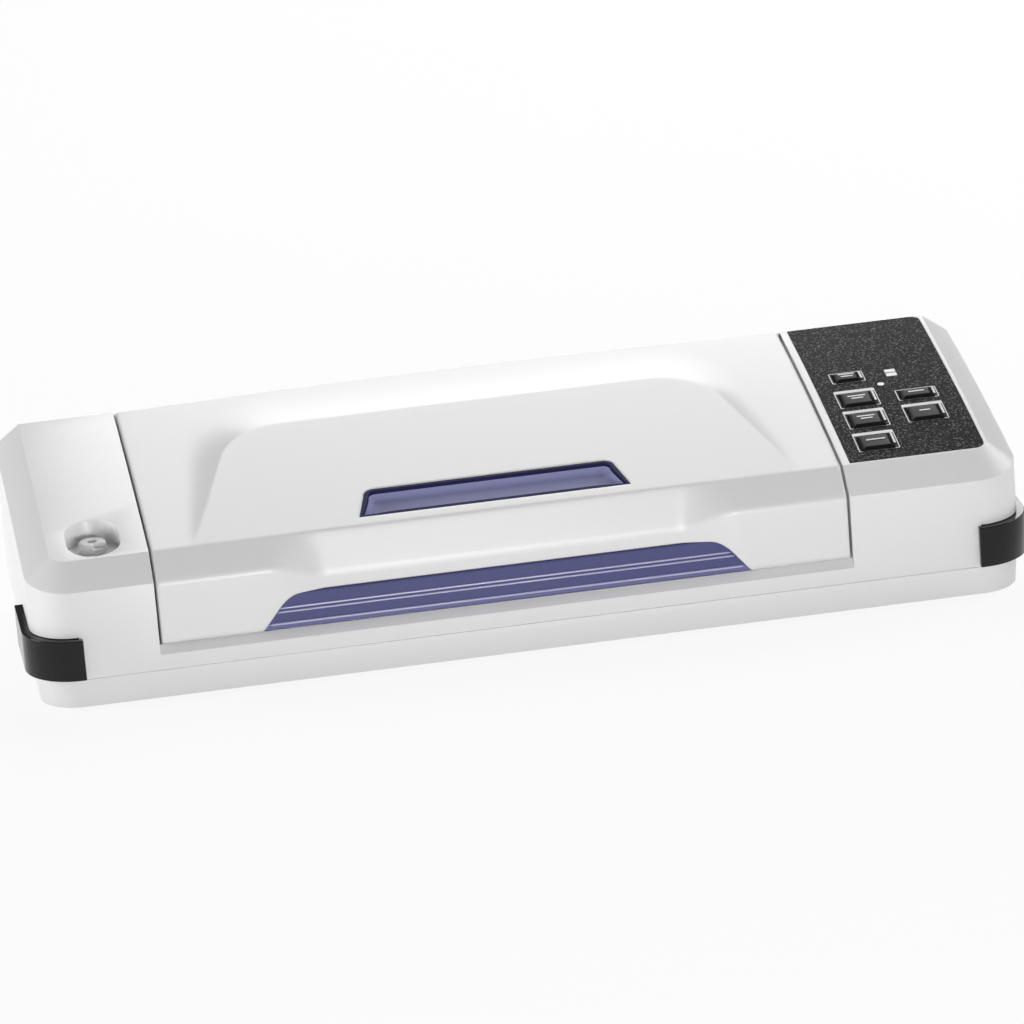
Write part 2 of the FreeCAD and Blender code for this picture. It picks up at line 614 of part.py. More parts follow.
def inlet_block(margin, depth):
    """Mains inlet's body behind the rear wall."""
    z = SEAM_Z + INLET_UP
    half_w, half_h = INLET_W / 2 + margin, INLET_H / 2 + margin
    return box(INLET_X - half_w, INLET_X + half_w, REAR_Y - depth, REAR_Y, z - half_h, z + half_h)


def hose_path():
    """Route of the hose from the pump head to the canister port."""
    low = FLOOR_Z + PUMP_H * HOSE_SHARE
    y = REAR_Y - HUMP_D / 2
    port_y = FRONT_Y + PORT_IN
    return [
        Vector(PUMP_X, y, low),
        Vector(PORT_X, y, low),
        Vector(PORT_X, port_y, low),
        Vector(PORT_X, port_y, PORT_Z - WALL - NOZZLE_H),
    ]


def top_housing():
    """Upper casing: two end pods, the deck between them with its trough, sill and raised rear."""
    solid = envelope(0.0)
    shell = solid.cut(envelope(WALL)).cut(
        plan_block(WALL, SEAM_Z - PAST, SEAM_Z + PAST)
    )
    shell = shell.cut(box(BAY_X0, BAY_X1, FRONT_Y - PAST, REAR_Y + PAST, DECK_Z, HIGH))
    walls = [
        box(BAY_X0 - WALL, BAY_X0, FRONT_Y, REAR_Y, SEAM_Z, HIGH).common(solid),
        box(BAY_X1, BAY_X1 + WALL, FRONT_Y, REAR_Y, SEAM_Z, HIGH).common(solid),
    ]
    deck = box(BAY_X0, BAY_X1, FRONT_Y + WALL, HUMP_Y + WALL, DECK_Z - WALL, DECK_Z)
    sill = box(BAY_X0, BAY_X1, FRONT_Y, FRONT_Y + SILL_D, SEAM_Z, DECK_Z)
    riser = box(BAY_X0, BAY_X1, HUMP_Y, HUMP_Y + WALL, DECK_Z - WALL, HUMP_Z)
    lofty = box(BAY_X0, BAY_X1, HUMP_Y, REAR_Y, HUMP_Z - WALL, HUMP_Z)
    back = box(BAY_X0, BAY_X1, REAR_Y - WALL, REAR_Y, SEAM_Z, HUMP_Z)
    tub = box(
        TROUGH_X0 - WALL, TROUGH_X1 + WALL, TROUGH_Y0 - WALL, TROUGH_Y1 + WALL, TROUGH_Z - WALL, DECK_Z
    )
    cup = port_cup(PORT_R + WALL, PORT_Z - WALL).common(solid)
    pillars = [
        cylinder(PILLAR_R, HIGH, Vector(x, y, SEAM_Z)).common(solid) for x, y in PILLARS
    ]
    posts = [post.common(solid) for post in board_posts()]
    body = joined([shell, deck, sill, riser, lofty, back, tub, cup] + walls + pillars + posts)
    sill_bevel = prism_x(
        [
            (FRONT_Y - PAST, DECK_Z - SILL_BEVEL - PAST), (FRONT_Y + SILL_BEVEL + PAST, DECK_Z + PAST),
            (FRONT_Y - PAST, DECK_Z + PAST),
        ],
        BAY_X0, BAY_X1,
    )
    trough = box(TROUGH_X0, TROUGH_X1, TROUGH_Y0, TROUGH_Y1, TROUGH_Z, HIGH)
    pin_holes = cylinder(PIN_R + PIN_SNUG, CASE_W, Vector(-HALF_W, HINGE_Y, HINGE_Z), Vector(1, 0, 0))
    pin_holes = pin_holes.common(box(BAY_X0 - 2 * WALL, BAY_X1 + 2 * WALL, FRONT_Y, REAR_Y, 0, HIGH))
    bores = [cylinder(SCREW_R, PILLAR_BORE, Vector(x, y, SEAM_Z)) for x, y in PILLARS]
    hook_slots = [hook_room(LID_X0 + HOOK_IN), hook_room(LID_X1 - HOOK_IN - HOOK_T)]
    low = hose_path()[0]
    hose_at = Vector(BAY_X0 - 6 * WALL, low.y, low.z)
    hose_hole = cylinder(HOSE_R + 4 * CLEAR, 12 * WALL, hose_at, Vector(1, 0, 0))
    rim = inlet_block(INLET_RIM + LOOSE, INLET_RIM_T)
    nozzle_at = Vector(PORT_X, FRONT_Y + PORT_IN, PORT_Z - 3 * WALL)
    nozzle_hole = cylinder(NOZZLE_R - WALL + LOOSE, 4 * WALL, nozzle_at)
    tools = [
        sill_bevel, trough, pin_holes, port_cup(PORT_R, PORT_Z), nozzle_hole, hose_hole,
        button_window(), mirrored(button_window()), slider_slot(), right_side(slider_slot()),
        panel_shape(LOOSE, 2 * WALL, PANEL_T - PANEL_UP), inlet_block(LOOSE, INLET_D + WALL), rim,
    ]
    return cut(body, tools + bores + hook_slots + key_holes(KEY_FIT))


def right_side(shape):
    """A shape at the lid's left edge, mirrored to the lid's right edge."""
    return shape.mirror(Vector(LID_MID, 0, 0), Vector(1, 0, 0))


def hook_room(x):
    """Slot in the deck that a lid hook drops through, with room for its arc."""
    y0, y1 = HOOK_Y - HOOK_W / 2 - 2 * HOOK_SWING, HOOK_Y + HOOK_W / 2 + CLEAR
    return box(x - 2 * CLEAR, x + HOOK_T + 2 * CLEAR, y0, y1, DECK_Z - 2 * WALL, DECK_Z + WALL)


def control_panel():
    """Black overlay let into the right pod, with holes for keys and lenses."""
    return cut(panel_shape(0.0, PANEL_UP, PANEL_T - PANEL_UP), key_holes(KEY_FIT))


def key(across, back, width, depth):
    """One push key: a bevelled cap over a stem with a lip below the casing's wall."""
    x, y = panel_place(across, back)
    half_w, half_d = width / 2, depth / 2
    foot = Part.makePolygon([Vector(x + a * half_w, b * half_d, PANEL_UP + KEY_EDGE) for a, b in SQUARE])
    crown = Part.makePolygon(
        [Vector(x + a * (half_w - KEY_TAPER), b * (half_d - KEY_TAPER), KEY_TOP) for a, b in SQUARE]
    )
    cap = Part.makeLoft([foot, crown], True, True)
    stem = box(x - half_w, x + half_w, -half_d, half_d, -KEY_STEM, PANEL_UP + KEY_EDGE)
    lip_w, lip_d = half_w + KEY_LIP, half_d + KEY_LIP
    lip = box(x - lip_w, x + lip_w, -lip_d, lip_d, -KEY_STEM, -KEY_STEM + KEY_LIP)
    return tilted(joined([cap, stem, lip]), y)


SQUARE = [(-1, -1), (1, -1), (1, 1), (-1, 1), (-1, -1)]
BOARD_DOWN = KEY_STEM + KEY_TRAVEL + LOOSE + SWITCH_H


BOARD_Y = panel_place(0.0, BOARD_AT)[1]
BOARD_HALF = BOARD_SHARE * (PANEL_Y1 - PANEL_Y0) / 2
BOARD_X0 = PANEL_X0 + WALL
BOARD_X1 = HALF_W - PILLAR_IN - PILLAR_R - CLEAR
BOARD_POSTS = [
    (x, y)
    for x in (BOARD_X0 + POST_R + CLEAR, BOARD_X1 - POST_R - CLEAR)
    for y in (-BOARD_HALF + POST_R + CLEAR, BOARD_HALF - POST_R - CLEAR)
]


def board_sag(y):
    """How far the crowned top surface lies below the board's own plane at y."""
    return (top_z(BOARD_Y) + (y - BOARD_Y) * SLOPE - top_z(y)) * math.cos(TILT)


def board_depth(y):
    """Distance from the panel's surface at y down to the circuit board."""
    deepest = max(board_sag(panel_place(0.0, back)[1]) for _, _, back, _, _ in KEYS)
    return BOARD_DOWN + deepest - board_sag(y)


def control_board():
    """Circuit board under the keys, parallel to the panel's mean slope."""
    top = -board_depth(BOARD_Y)
    board = box(BOARD_X0, BOARD_X1, -BOARD_HALF, BOARD_HALF, top - BOARD_T, top)
    under = top - 3 * BOARD_T / 2
    holes = [cylinder(SCREW_R + LOOSE, 2 * BOARD_T, Vector(x, y, under)) for x, y in BOARD_POSTS]
    return tilted(cut(board, holes), BOARD_Y)


def board_posts():
    """Posts under the casing's top that the circuit board is screwed to."""
    top = -board_depth(BOARD_Y)
    bore = -top - 2 * WALL
    posts = [cylinder(POST_R, WALL - top, Vector(x, y, top)) for x, y in BOARD_POSTS]
    bores = [cylinder(SCREW_R, bore, Vector(x, y, top)) for x, y in BOARD_POSTS]
    return [tilted(post.cut(hole), BOARD_Y) for post, hole in zip(posts, bores)]


def board_screws():
    """Screws from below through the circuit board."""
    top = -board_depth(BOARD_Y)
    screws = []
    for x, y in BOARD_POSTS:
        at = Vector(x, y, top - BOARD_T - SCREW_HEAD_H)
        head = cylinder(POST_R, SCREW_HEAD_H, at)
        shank = cylinder(SCREW_R - LOOSE, SCREW_HEAD_H + BOARD_T + SCREW_HEAD_R, at)
        screws.append(tilted(joined([head, shank]), BOARD_Y))
    return Part.makeCompound(screws)


def key_switches():
    """One small switch on the board under each key."""
    switches = []
    for _, across, back, _, _ in KEYS:
        x, y = panel_place(across, back)
        down = board_depth(y)
        half = SWITCH_W / 2
        body = box(x - half, x + half, -half, half, -down, -down + SWITCH_H * SWITCH_SHARE)
        top = -KEY_STEM - KEY_TRAVEL - LOOSE
        plunger = cylinder(half / 2, top + down, Vector(x, 0, -down))
        switches.append(tilted(joined([body, plunger]), y))
    return Part.makeCompound(switches)


def power_lens():
    """Round light guide for the power light."""
    x, y = panel_place(*POWER_LENS_AT)
    down = board_depth(y) - LOOSE
    return tilted(cylinder(LENS_R, down + PANEL_UP + LOOSE, Vector(x, 0, -down)), y)


def mode_lens(across, back):
    """Bar-shaped light guide for a sealing mode."""
    x, y = panel_place(across, back)
    return tilted(bar_lens(x, 0.0, PANEL_UP + LOOSE, board_depth(y) - LOOSE), y)


def canister_port():
    """Nozzle in the recess that takes the hose of a canister."""
    y = FRONT_Y + PORT_IN
    collar = cylinder(NOZZLE_R, NOZZLE_H, Vector(PORT_X, y, PORT_Z))
    rim = [e for e in collar.Edges if e.BoundBox.ZMin > PORT_Z + NOZZLE_H - 0.01]
    collar = collar.makeFillet(WALL / 2, rim)
    stub = cylinder(NOZZLE_R - WALL, NOZZLE_H + WALL + LOOSE, Vector(PORT_X, y, PORT_Z - WALL - NOZZLE_H))
    bore = cylinder(NOZZLE_BORE, NOZZLE_DEEP, Vector(PORT_X, y, PORT_Z + NOZZLE_H - NOZZLE_DEEP))
    top = PORT_Z + NOZZLE_H
    notch = box(PORT_X, PORT_X + NOZZLE_R, y - NOZZLE_R, y - NOZZLE_BORE, top - NOZZLE_H / 2, top)
    return cut(joined([collar, stub]), [bore, notch])


# Pieces on the deck
def lower_gasket():
    """Rubber frame round the vacuum chamber."""
    return ring(
        TROUGH_X0 - GASKET_OFF, TROUGH_X1 + GASKET_OFF, TROUGH_Y0 - GASKET_OFF, TROUGH_Y1 + GASKET_OFF,
        DECK_Z, GASKET_TOP, GASKET_W,
    )


def seal_bar():
    """Heated bar along the front of the deck."""
    bar = box(
        LID_MID - SEAL_L / 2, LID_MID + SEAL_L / 2, SEAL_Y0, SEAL_Y0 + SEAL_W, DECK_Z, DECK_Z + SEAL_H
    )
    long_edges = [e for e in bar.Edges if e.BoundBox.XLength > SEAL_W and e.BoundBox.ZMin > DECK_Z + LOOSE]
    return bar.makeChamfer(SEAL_H / 3, long_edges).cut(heating_strip())


def heating_strip():
    """Resistance ribbon let into the seal bar under the tape."""
    y = SEAL_Y0 + SEAL_W / 2
    top = DECK_Z + SEAL_H
    return box(
        LID_MID - SEAL_L / 2, LID_MID + SEAL_L / 2, y - STRIP_W / 2, y + STRIP_W / 2, top - STRIP_T, top
    )


def seal_tape():
    """Non-stick tape over the heating strip."""
    inset = (SEAL_W - TAPE_W) / 2
    return box(
        LID_MID - SEAL_L / 2, LID_MID + SEAL_L / 2, SEAL_Y0 + inset, SEAL_Y0 + inset + TAPE_W,
        DECK_Z + SEAL_H, SEAL_TOP,
    )


def drip_tray():
    """Loose tray in the trough that catches liquid."""
    x0, x1 = TROUGH_X0 + LOOSE, TROUGH_X1 - LOOSE
    y0, y1 = TROUGH_Y0 + LOOSE, TROUGH_Y1 - LOOSE
    top = DECK_Z - TRAY_DROP
    outer = box(x0, x1, y0, y1, TROUGH_Z, top)
    wall = WALL / 2
    return outer.cut(box(x0 + wall, x1 - wall, y0 + wall, y1 - wall, TROUGH_Z + wall, HIGH))


# Lid
def dome(drop):
    """Raised middle of the lid as a hipped block, lowered by a distance."""
    def corner(half, y, z):
        return [Vector(LID_MID - half, y, z - drop), Vector(LID_MID + half, y, z - drop)]

    rear_y = REAR_Y + DOME_TAIL
    front = corner(DOME_HALF_FRONT, CREASE_Y, top_z(CREASE_Y) - DOME_SINK)
    ridge = corner(DOME_HALF_RIDGE, RIDGE_Y, top_z(RIDGE_Y) + DOME_RISE)
    rear = corner(DOME_HALF_REAR, rear_y, top_z(rear_y) - DOME_SINK)
    sunk_front = [p - Vector(0, 0, 4 * WALL) for p in front]
    sunk_rear = [p - Vector(0, 0, 4 * WALL) for p in rear]
    faces = [
        [front[0], front[1], ridge[1], ridge[0]],
        [ridge[0], ridge[1], rear[1], rear[0]],
        [front[0], ridge[0], rear[0]],
        [front[1], ridge[1], rear[1]],
        [front[0], front[1], sunk_front[1], sunk_front[0]],
        [rear[0], rear[1], sunk_rear[1], sunk_rear[0]],
        [front[0], rear[0], sunk_rear[0], sunk_front[0]],
        [front[1], rear[1], sunk_rear[1], sunk_front[1]],
        [sunk_front[0], sunk_front[1], sunk_rear[1], sunk_rear[0]],
    ]
    shell = Part.makeShell([Part.Face(Part.makePolygon(f + f[:1])) for f in faces])
    block = Part.makeSolid(shell)
    return block if block.Volume > 0 else block.reversed()


def scoop(depth):
    """Finger scoop in the lid's front: what lies in front of a creased face, with slanting ends."""
    crease_z, foot_z = top_z(CREASE_Y), LID_Z - 4 * WALL
    ahead = FRONT_Y - 4 * WALL
    set_back = FRONT_Y + depth

    def section(x, flat_y, top_y):
        points = [(ahead, foot_z), (flat_y, foot_z), (flat_y, SCOOP_Z), (top_y, crease_z), (ahead, crease_z)]
        corners = [Vector(x, y, z) for y, z in points]
        return Part.makePolygon(corners + corners[:1])

    out_y = FRONT_Y - WALL
    wide, flat = SCOOP_HALF + SCOOP_FLARE, SCOOP_HALF
    top_y = CREASE_Y + depth - SCOOP_D
    wires = [
        section(LID_MID - wide, out_y, out_y + LOOSE), section(LID_MID - flat, set_back, top_y),
        section(LID_MID + flat, set_back, top_y), section(LID_MID + wide, out_y, out_y + LOOSE),
    ]
    return Part.makeLoft(wires, True, True)


def dome_tilt():
    """Slope of the dome's front plane."""
    rise = top_z(RIDGE_Y) + DOME_RISE - top_z(CREASE_Y) + DOME_SINK
    return math.atan2(rise, RIDGE_Y - CREASE_Y)


def on_dome(shape):
    """A shape drawn from the front crease along +Y, laid on the dome's front plane."""
    laid = shape.copy()
    laid.rotate(Vector(0, 0, 0), Vector(1, 0, 0), math.degrees(dome_tilt()))
    laid.translate(Vector(LID_MID, CREASE_Y, top_z(CREASE_Y) - DOME_SINK))
    return laid


def rounded_wire(corners):
    """Closed outline of (corner, radius) pairs, each corner rounded by its radius."""
    edges, stops = [], []
    points = [p for p, _ in corners]
    for before, (corner, radius), after in zip(points[-1:] + points, corners, points[1:] + points[:1]):
        back, ahead = before - corner, after - corner
        half = back.getAngle(ahead) / 2
        back.normalize()
        ahead.normalize()
        middle = back + ahead
        middle.normalize()
        reach = radius / math.tan(half)
        crown = corner + middle * (radius / math.sin(half) - radius)
        stops.append((corner + back * reach, corner + ahead * reach))
        edges.append(Part.Arc(stops[-1][0], crown, stops[-1][1]).toShape())
    lines = [Part.makeLine(a[1], b[0]) for a, b in zip(stops, stops[1:] + stops[:1])]
    return Part.Wire([edge for pair in zip(edges, lines) for edge in pair])


def window_wire(grow, z):
    """Outline of the window, with rounded rear corners, grown by a margin."""
    y0, y1 = WINDOW_FRONT - grow, WINDOW_FRONT + WINDOW_D + grow
    half_0, half_1 = WINDOW_HALF_FRONT + grow, WINDOW_HALF_REAR + grow
    front_r, rear_r = WINDOW_FRONT_R, WINDOW_R
    return rounded_wire([
        (Vector(-half_0, y0, z), front_r), (Vector(half_0, y0, z), front_r),
        (Vector(half_1, y1, z), rear_r), (Vector(-half_1, y1, z), rear_r),
    ])


def window_block(grow, z0, z1):
    """The window's outline as a block in the dome's own plane."""
    return Part.Face(window_wire(grow, z0)).extrude(Vector(0, 0, z1 - z0))


def lid_cover():
    """White lid: top with its dome, bevel, front with the finger scoop, sides and rear skirt."""
    zone = box(LID_X0, LID_X1, FRONT_Y - PAST, REAR_Y, LID_Z, HIGH)
    room = box(LID_X0 + WALL, LID_X1 - WALL, FRONT_Y, REAR_Y - WALL, LID_Z - PAST, HIGH)
    outer = joined([envelope(0.0), dome(0.0)]).common(zone).cut(scoop(SCOOP_D))
    inner = joined([envelope(WALL), dome(WALL)]).common(room).cut(scoop(SCOOP_D + WALL))
    shell = outer.cut(inner)
    shell = shell.cut(box(LID_X0 - 1, LID_X1 + 1, HUMP_Y - LID_GAP, REAR_Y + 1, 0, LID_REAR_Z))
    ears = [
        cylinder(EAR_R, EAR_L, Vector(x, HINGE_Y, HINGE_Z), Vector(1, 0, 0)) for x in (LID_X0, LID_X1 - EAR_L)
    ]
    posts = [
        cylinder(PILLAR_R, HIGH, Vector(x, y, LINER_Z + LINER_T)).common(outer) for x, y in LINER_POSTS
    ]
    shell = joined([shell] + ears + posts)
    pin_hole = cylinder(PIN_R + PIN_FIT, LID_W, Vector(LID_X0, HINGE_Y, HINGE_Z), Vector(1, 0, 0))
    bores = [cylinder(SCREW_R, PILLAR_BORE, Vector(x, y, LINER_Z)) for x, y in LINER_POSTS]
    window_hole = on_dome(window_block(0.0, -6 * WALL, 4 * WALL))
    return cut(shell, [pin_hole, window_hole, grip_block(0.0, 4 * WALL)] + bores)


LINER_POSTS = [
    (x, y)
    for x in (LID_X0 + POST_IN, LID_X1 - POST_IN)
    for y in (TROUGH_Y0 + POST_IN, TROUGH_Y1)
]


def grip_block(shrink, thick):
    """Trapezoid block through the lid's front where the grip shows."""
    half_0, half_1 = GRIP_HALF_BOTTOM - shrink, GRIP_HALF_TOP - shrink
    z0, z1 = LID_Z - PAST, GRIP_Z - shrink
    lean = (half_0 - half_1) / (z1 - LID_Z)
    points = [(-half_0 - lean, z0), (half_0 + lean, z0), (half_1, z1), (-half_1, z1)]
    corners = [Vector(LID_MID + x, FRONT_Y - thick, z) for x, z in points]
    face = Part.Face(Part.makePolygon(corners + corners[:1]))
    block = face.extrude(Vector(0, SCOOP_D + WALL + PAST + thick, 0))
    upper = [e for e in block.Edges if e.BoundBox.YLength > WALL and e.BoundBox.ZMin > z1 - LOOSE]
    return block.makeFillet(WINDOW_R, upper)


def front_grip():
    """Blue ribbed panel that fills the opening in the lid's front."""
    lower, upper = FRONT_Y + GRIP_BACK, FRONT_Y + SCOOP_D - GRIP_BACK
    slant = (upper - lower) / (GRIP_Z - LID_Z)
    panel = prism_x(
        [(lower, LID_Z), (lower + GRIP_T, LID_Z), (upper + GRIP_T, GRIP_Z), (upper, GRIP_Z)],
        LID_MID - GRIP_HALF_BOTTOM - WALL, LID_MID + GRIP_HALF_BOTTOM + WALL,
    )
    ribs = []
    for share in GRIP_RIBS:
        z = LID_Z + share * (GRIP_Z - LID_Z)
        y = lower + slant * (z - LID_Z)
        ribs.append(prism_x(
            [(y + RIB_ROOT, z - RIB_W / 2), (y - RIB_H, z), (y + RIB_ROOT, z + RIB_W / 2)],
            LID_MID - GRIP_HALF_BOTTOM - WALL, LID_MID + GRIP_HALF_BOTTOM + WALL,
        ))
    trimmed = joined([panel] + ribs).common(grip_block(LOOSE, 4 * WALL))
    return trimmed.common(box(LID_X0, LID_X1, FRONT_Y, REAR_Y, LID_Z, HIGH))


def lid_window():
    """Blue see-through pan under the lid's window."""
    body = window_block(-LOOSE, -WINDOW_DEEP - WINDOW_FLOOR, -WINDOW_SUNK)
    hollow = Part.makeLoft([window_wire(-PAN_FOOT, -WINDOW_DEEP), window_wire(-PAN_RIM, 0.0)], True, True)
    flange = window_block(WALL, -WINDOW_DEEP - WINDOW_FLOOR, -WINDOW_DEEP)
    return on_dome(joined([body, flange]).cut(hollow))


def lid_liner():
    """Inner moulding of the lid: a plate with the chamber's upper hollow."""
    x0, x1 = LID_X0 + WALL + LOOSE, LID_X1 - WALL - LOOSE
    y0, y1 = FRONT_Y + SCOOP_D + WALL + LOOSE, HUMP_Y - LID_GAP - WALL
    z0, z1 = LINER_Z, LINER_Z + LINER_T
    plate = box(x0, x1, y0, y1, z0, z1)
    dish = box(
        TROUGH_X0 - WALL, TROUGH_X1 + WALL, TROUGH_Y0 - WALL, TROUGH_Y1 + WALL, z0, z0 + DISH_UP + WALL
    )
    hollow = box(TROUGH_X0, TROUGH_X1, TROUGH_Y0, TROUGH_Y1, z0 - PAST, z0 + DISH_UP)
    holes = [cylinder(SCREW_R + LOOSE, 2 * LINER_T, Vector(x, y, z0 - PAST)) for x, y in LINER_POSTS]
    return cut(joined([plate, dish]), [hollow] + holes)


def liner_screws():
    """Screws that hold the liner to the lid's posts."""
    screws = []
    for x, y in LINER_POSTS:
        head = cylinder(SCREW_HEAD_R, SCREW_HEAD_H, Vector(x, y, LINER_Z - SCREW_HEAD_H))
        shank = cylinder(SCREW_R - LOOSE, LINER_T + PILLAR_BORE / 2, Vector(x, y, LINER_Z - SCREW_HEAD_H))
        screws.append(joined([head, shank]))
    return Part.makeCompound(screws)


def lid_gasket():
    """Rubber frame under the liner, over the lower gasket."""
    return ring(
        TROUGH_X0 - GASKET_OFF, TROUGH_X1 + GASKET_OFF, TROUGH_Y0 - GASKET_OFF, TROUGH_Y1 + GASKET_OFF,
        GASKET_TOP + CLOSED_GAP, LINER_Z, GASKET_W,
    )


def pressure_strip():
    """Silicone strip that presses the bag on the seal bar."""
    inset = (SEAL_W - TAPE_W) / 2
    return box(
        LID_MID - SEAL_L / 2, LID_MID + SEAL_L / 2, SEAL_Y0 + inset, SEAL_Y0 + SEAL_W - inset,
        SEAL_TOP + CLOSED_GAP, LINER_Z,
    )


def lid_hooks():
    """Steel hooks under the liner that drop through the deck into the latch sliders."""
    hooks = []
    for x in (LID_X0 + HOOK_IN, LID_X1 - HOOK_IN - HOOK_T):
        hooks.append(box(x, x + HOOK_T, HOOK_Y - HOOK_W / 2, HOOK_Y + HOOK_W / 2, SLIDER_Z - CLEAR, LINER_Z))
    return Part.makeCompound(hooks)


def hinge_pins():
    """Steel pins through the pods' walls into the lid."""
    length = WALL * 2 + LID_GAP + EAR_L - PAST
    left = cylinder(PIN_R, length, Vector(BAY_X0 - 2 * WALL, HINGE_Y, HINGE_Z), Vector(1, 0, 0))
    return Part.makeCompound([left, right_side(left)])


# Pieces inside
def pump_motor():
    """Motor beside the pump head, resting on the base pan's floor."""
    y = REAR_Y - HUMP_D / 2
    x0 = PUMP_X + PUMP_L
    can = cylinder(MOTOR_R, MOTOR_L, Vector(x0, y, FLOOR_Z + MOTOR_R + LOOSE), Vector(1, 0, 0))
    boss = cylinder(MOTOR_R / 3, BOSS_L, Vector(x0 + MOTOR_L, y, FLOOR_Z + MOTOR_R + LOOSE), Vector(1, 0, 0))
    return joined([can, boss])


def pump_head():
    """Twin-chamber diaphragm pump head."""
    y = REAR_Y - HUMP_D / 2
    body = box(PUMP_X, PUMP_X + PUMP_L, y - PUMP_D / 2, y + PUMP_D / 2, FLOOR_Z, FLOOR_Z + PUMP_H)
    return body.makeFillet(PUMP_R, upright_edges(body))


def transformer_core():
    """Laminated core of the transformer."""
    x0 = CORE_X
    y = REAR_Y - HUMP_D / 2
    core = box(x0, x0 + CORE_L, y - CORE_D / 2, y + CORE_D / 2, FLOOR_Z, FLOOR_Z + CORE_H)
    side = (CORE_L - COIL_L) / 4
    slots = [
        box(x0 + side, x0 + CORE_L - side, y - CORE_D, y + CORE_D, FLOOR_Z + side, FLOOR_Z + CORE_H - side)
    ]
    middle = box(
        x0 + CORE_L / 2 - COIL_L / 4, x0 + CORE_L / 2 + COIL_L / 4, y - CORE_D / 2, y + CORE_D / 2,
        FLOOR_Z, FLOOR_Z + CORE_H,
    )
    return joined([cut(core, slots), middle])


def transformer_coil():
    """Winding block round the core's middle leg."""
    x0 = CORE_X
    y = REAR_Y - HUMP_D / 2
    side = (CORE_L - COIL_L) / 4 + LOOSE
    coil = box(
        x0 + side, x0 + CORE_L - side, y - COIL_D / 2, y + COIL_D / 2, FLOOR_Z + side, FLOOR_Z + CORE_H - side
    )
    leg = box(
        x0 + CORE_L / 2 - COIL_L / 4 - LOOSE, x0 + CORE_L / 2 + COIL_L / 4 + LOOSE,
        y - CORE_D / 2 - LOOSE, y + CORE_D / 2 + LOOSE, FLOOR_Z, FLOOR_Z + CORE_H,
    )
    return coil.cut(leg)


def release_valve():
    """Solenoid valve that lets air back in, beside the pump head."""
    y = REAR_Y - HUMP_D / 2
    x1 = PUMP_X - VALVE_GAP
    middle, half = y - HUMP_D / 4, VALVE_W / 2
    body = box(x1 - VALVE_L, x1, middle - half, middle + half, FLOOR_Z, FLOOR_Z + VALVE_W)
    plunger = cylinder(VALVE_W / 5, PLUNGER_L, Vector(x1, middle, FLOOR_Z + half), Vector(1, 0, 0))
    return joined([body, plunger])


def vacuum_sensor():
    """Pressure sensor on the base pan's floor, beside the release valve."""
    y = REAR_Y - HUMP_D / 4
    x1 = PUMP_X - VALVE_GAP
    body = box(x1 - SENSOR_W, x1, y - SENSOR_W / 2, y + SENSOR_W / 2, FLOOR_Z, FLOOR_Z + SENSOR_H)
    spout = cylinder(SENSOR_W / 6, SENSOR_H, Vector(x1 - SENSOR_W / 2, y, FLOOR_Z + SENSOR_H))
    return joined([body, spout])


def lid_switches():
    """Small switches under the deck that feel the lid's hooks."""
    x0 = SLIDER_END + BUTTON_TRAVEL + CLEAR
    y0 = HOOK_Y - HOOK_W / 2 - SENSOR_W / 2
    top = DECK_Z - WALL
    left = box(x0, x0 + LID_SWITCH_W, y0, y0 + SENSOR_W, top - LID_SWITCH_H, top)
    return Part.makeCompound([left, right_side(left)])


def chamber_hose():
    """Short hose from the trough to the pump head."""
    y1 = REAR_Y - HUMP_D / 2 - PUMP_D / 2
    y0 = TROUGH_Y1 + WALL
    return cylinder(HOSE_R, y1 - y0, Vector(PUMP_X + PUMP_L / 2, y0, TROUGH_Z + HOSE_R), Vector(0, 1, 0))


def port_hose():
    """Hose from the pump head to the canister port."""
    return tube(hose_path(), HOSE_R)


def mains_inlet():
    """Socket for a detachable mains lead, with its rim let into the rear wall."""
    body = joined([inlet_block(0.0, INLET_D), inlet_block(INLET_RIM, INLET_RIM_T)])
    return body.cut(inlet_block(-INLET_WALL, INLET_CUP))


def inlet_blades():
    """Three contact blades in the inlet's socket."""
    z = SEAM_Z + INLET_UP
    y0 = REAR_Y - INLET_CUP
    pitch = INLET_W / 4
    blades = []
    for x, dz in [(-pitch, -BLADE_W / 2), (0.0, BLADE_W / 2), (pitch, -BLADE_W / 2)]:
        middle = INLET_X + x
        z0 = z + dz - BLADE_W / 2
        blades.append(box(middle - BLADE_T / 2, middle + BLADE_T / 2, y0, y0 + BLADE_L, z0, z0 + BLADE_W))
    return Part.makeCompound(blades)


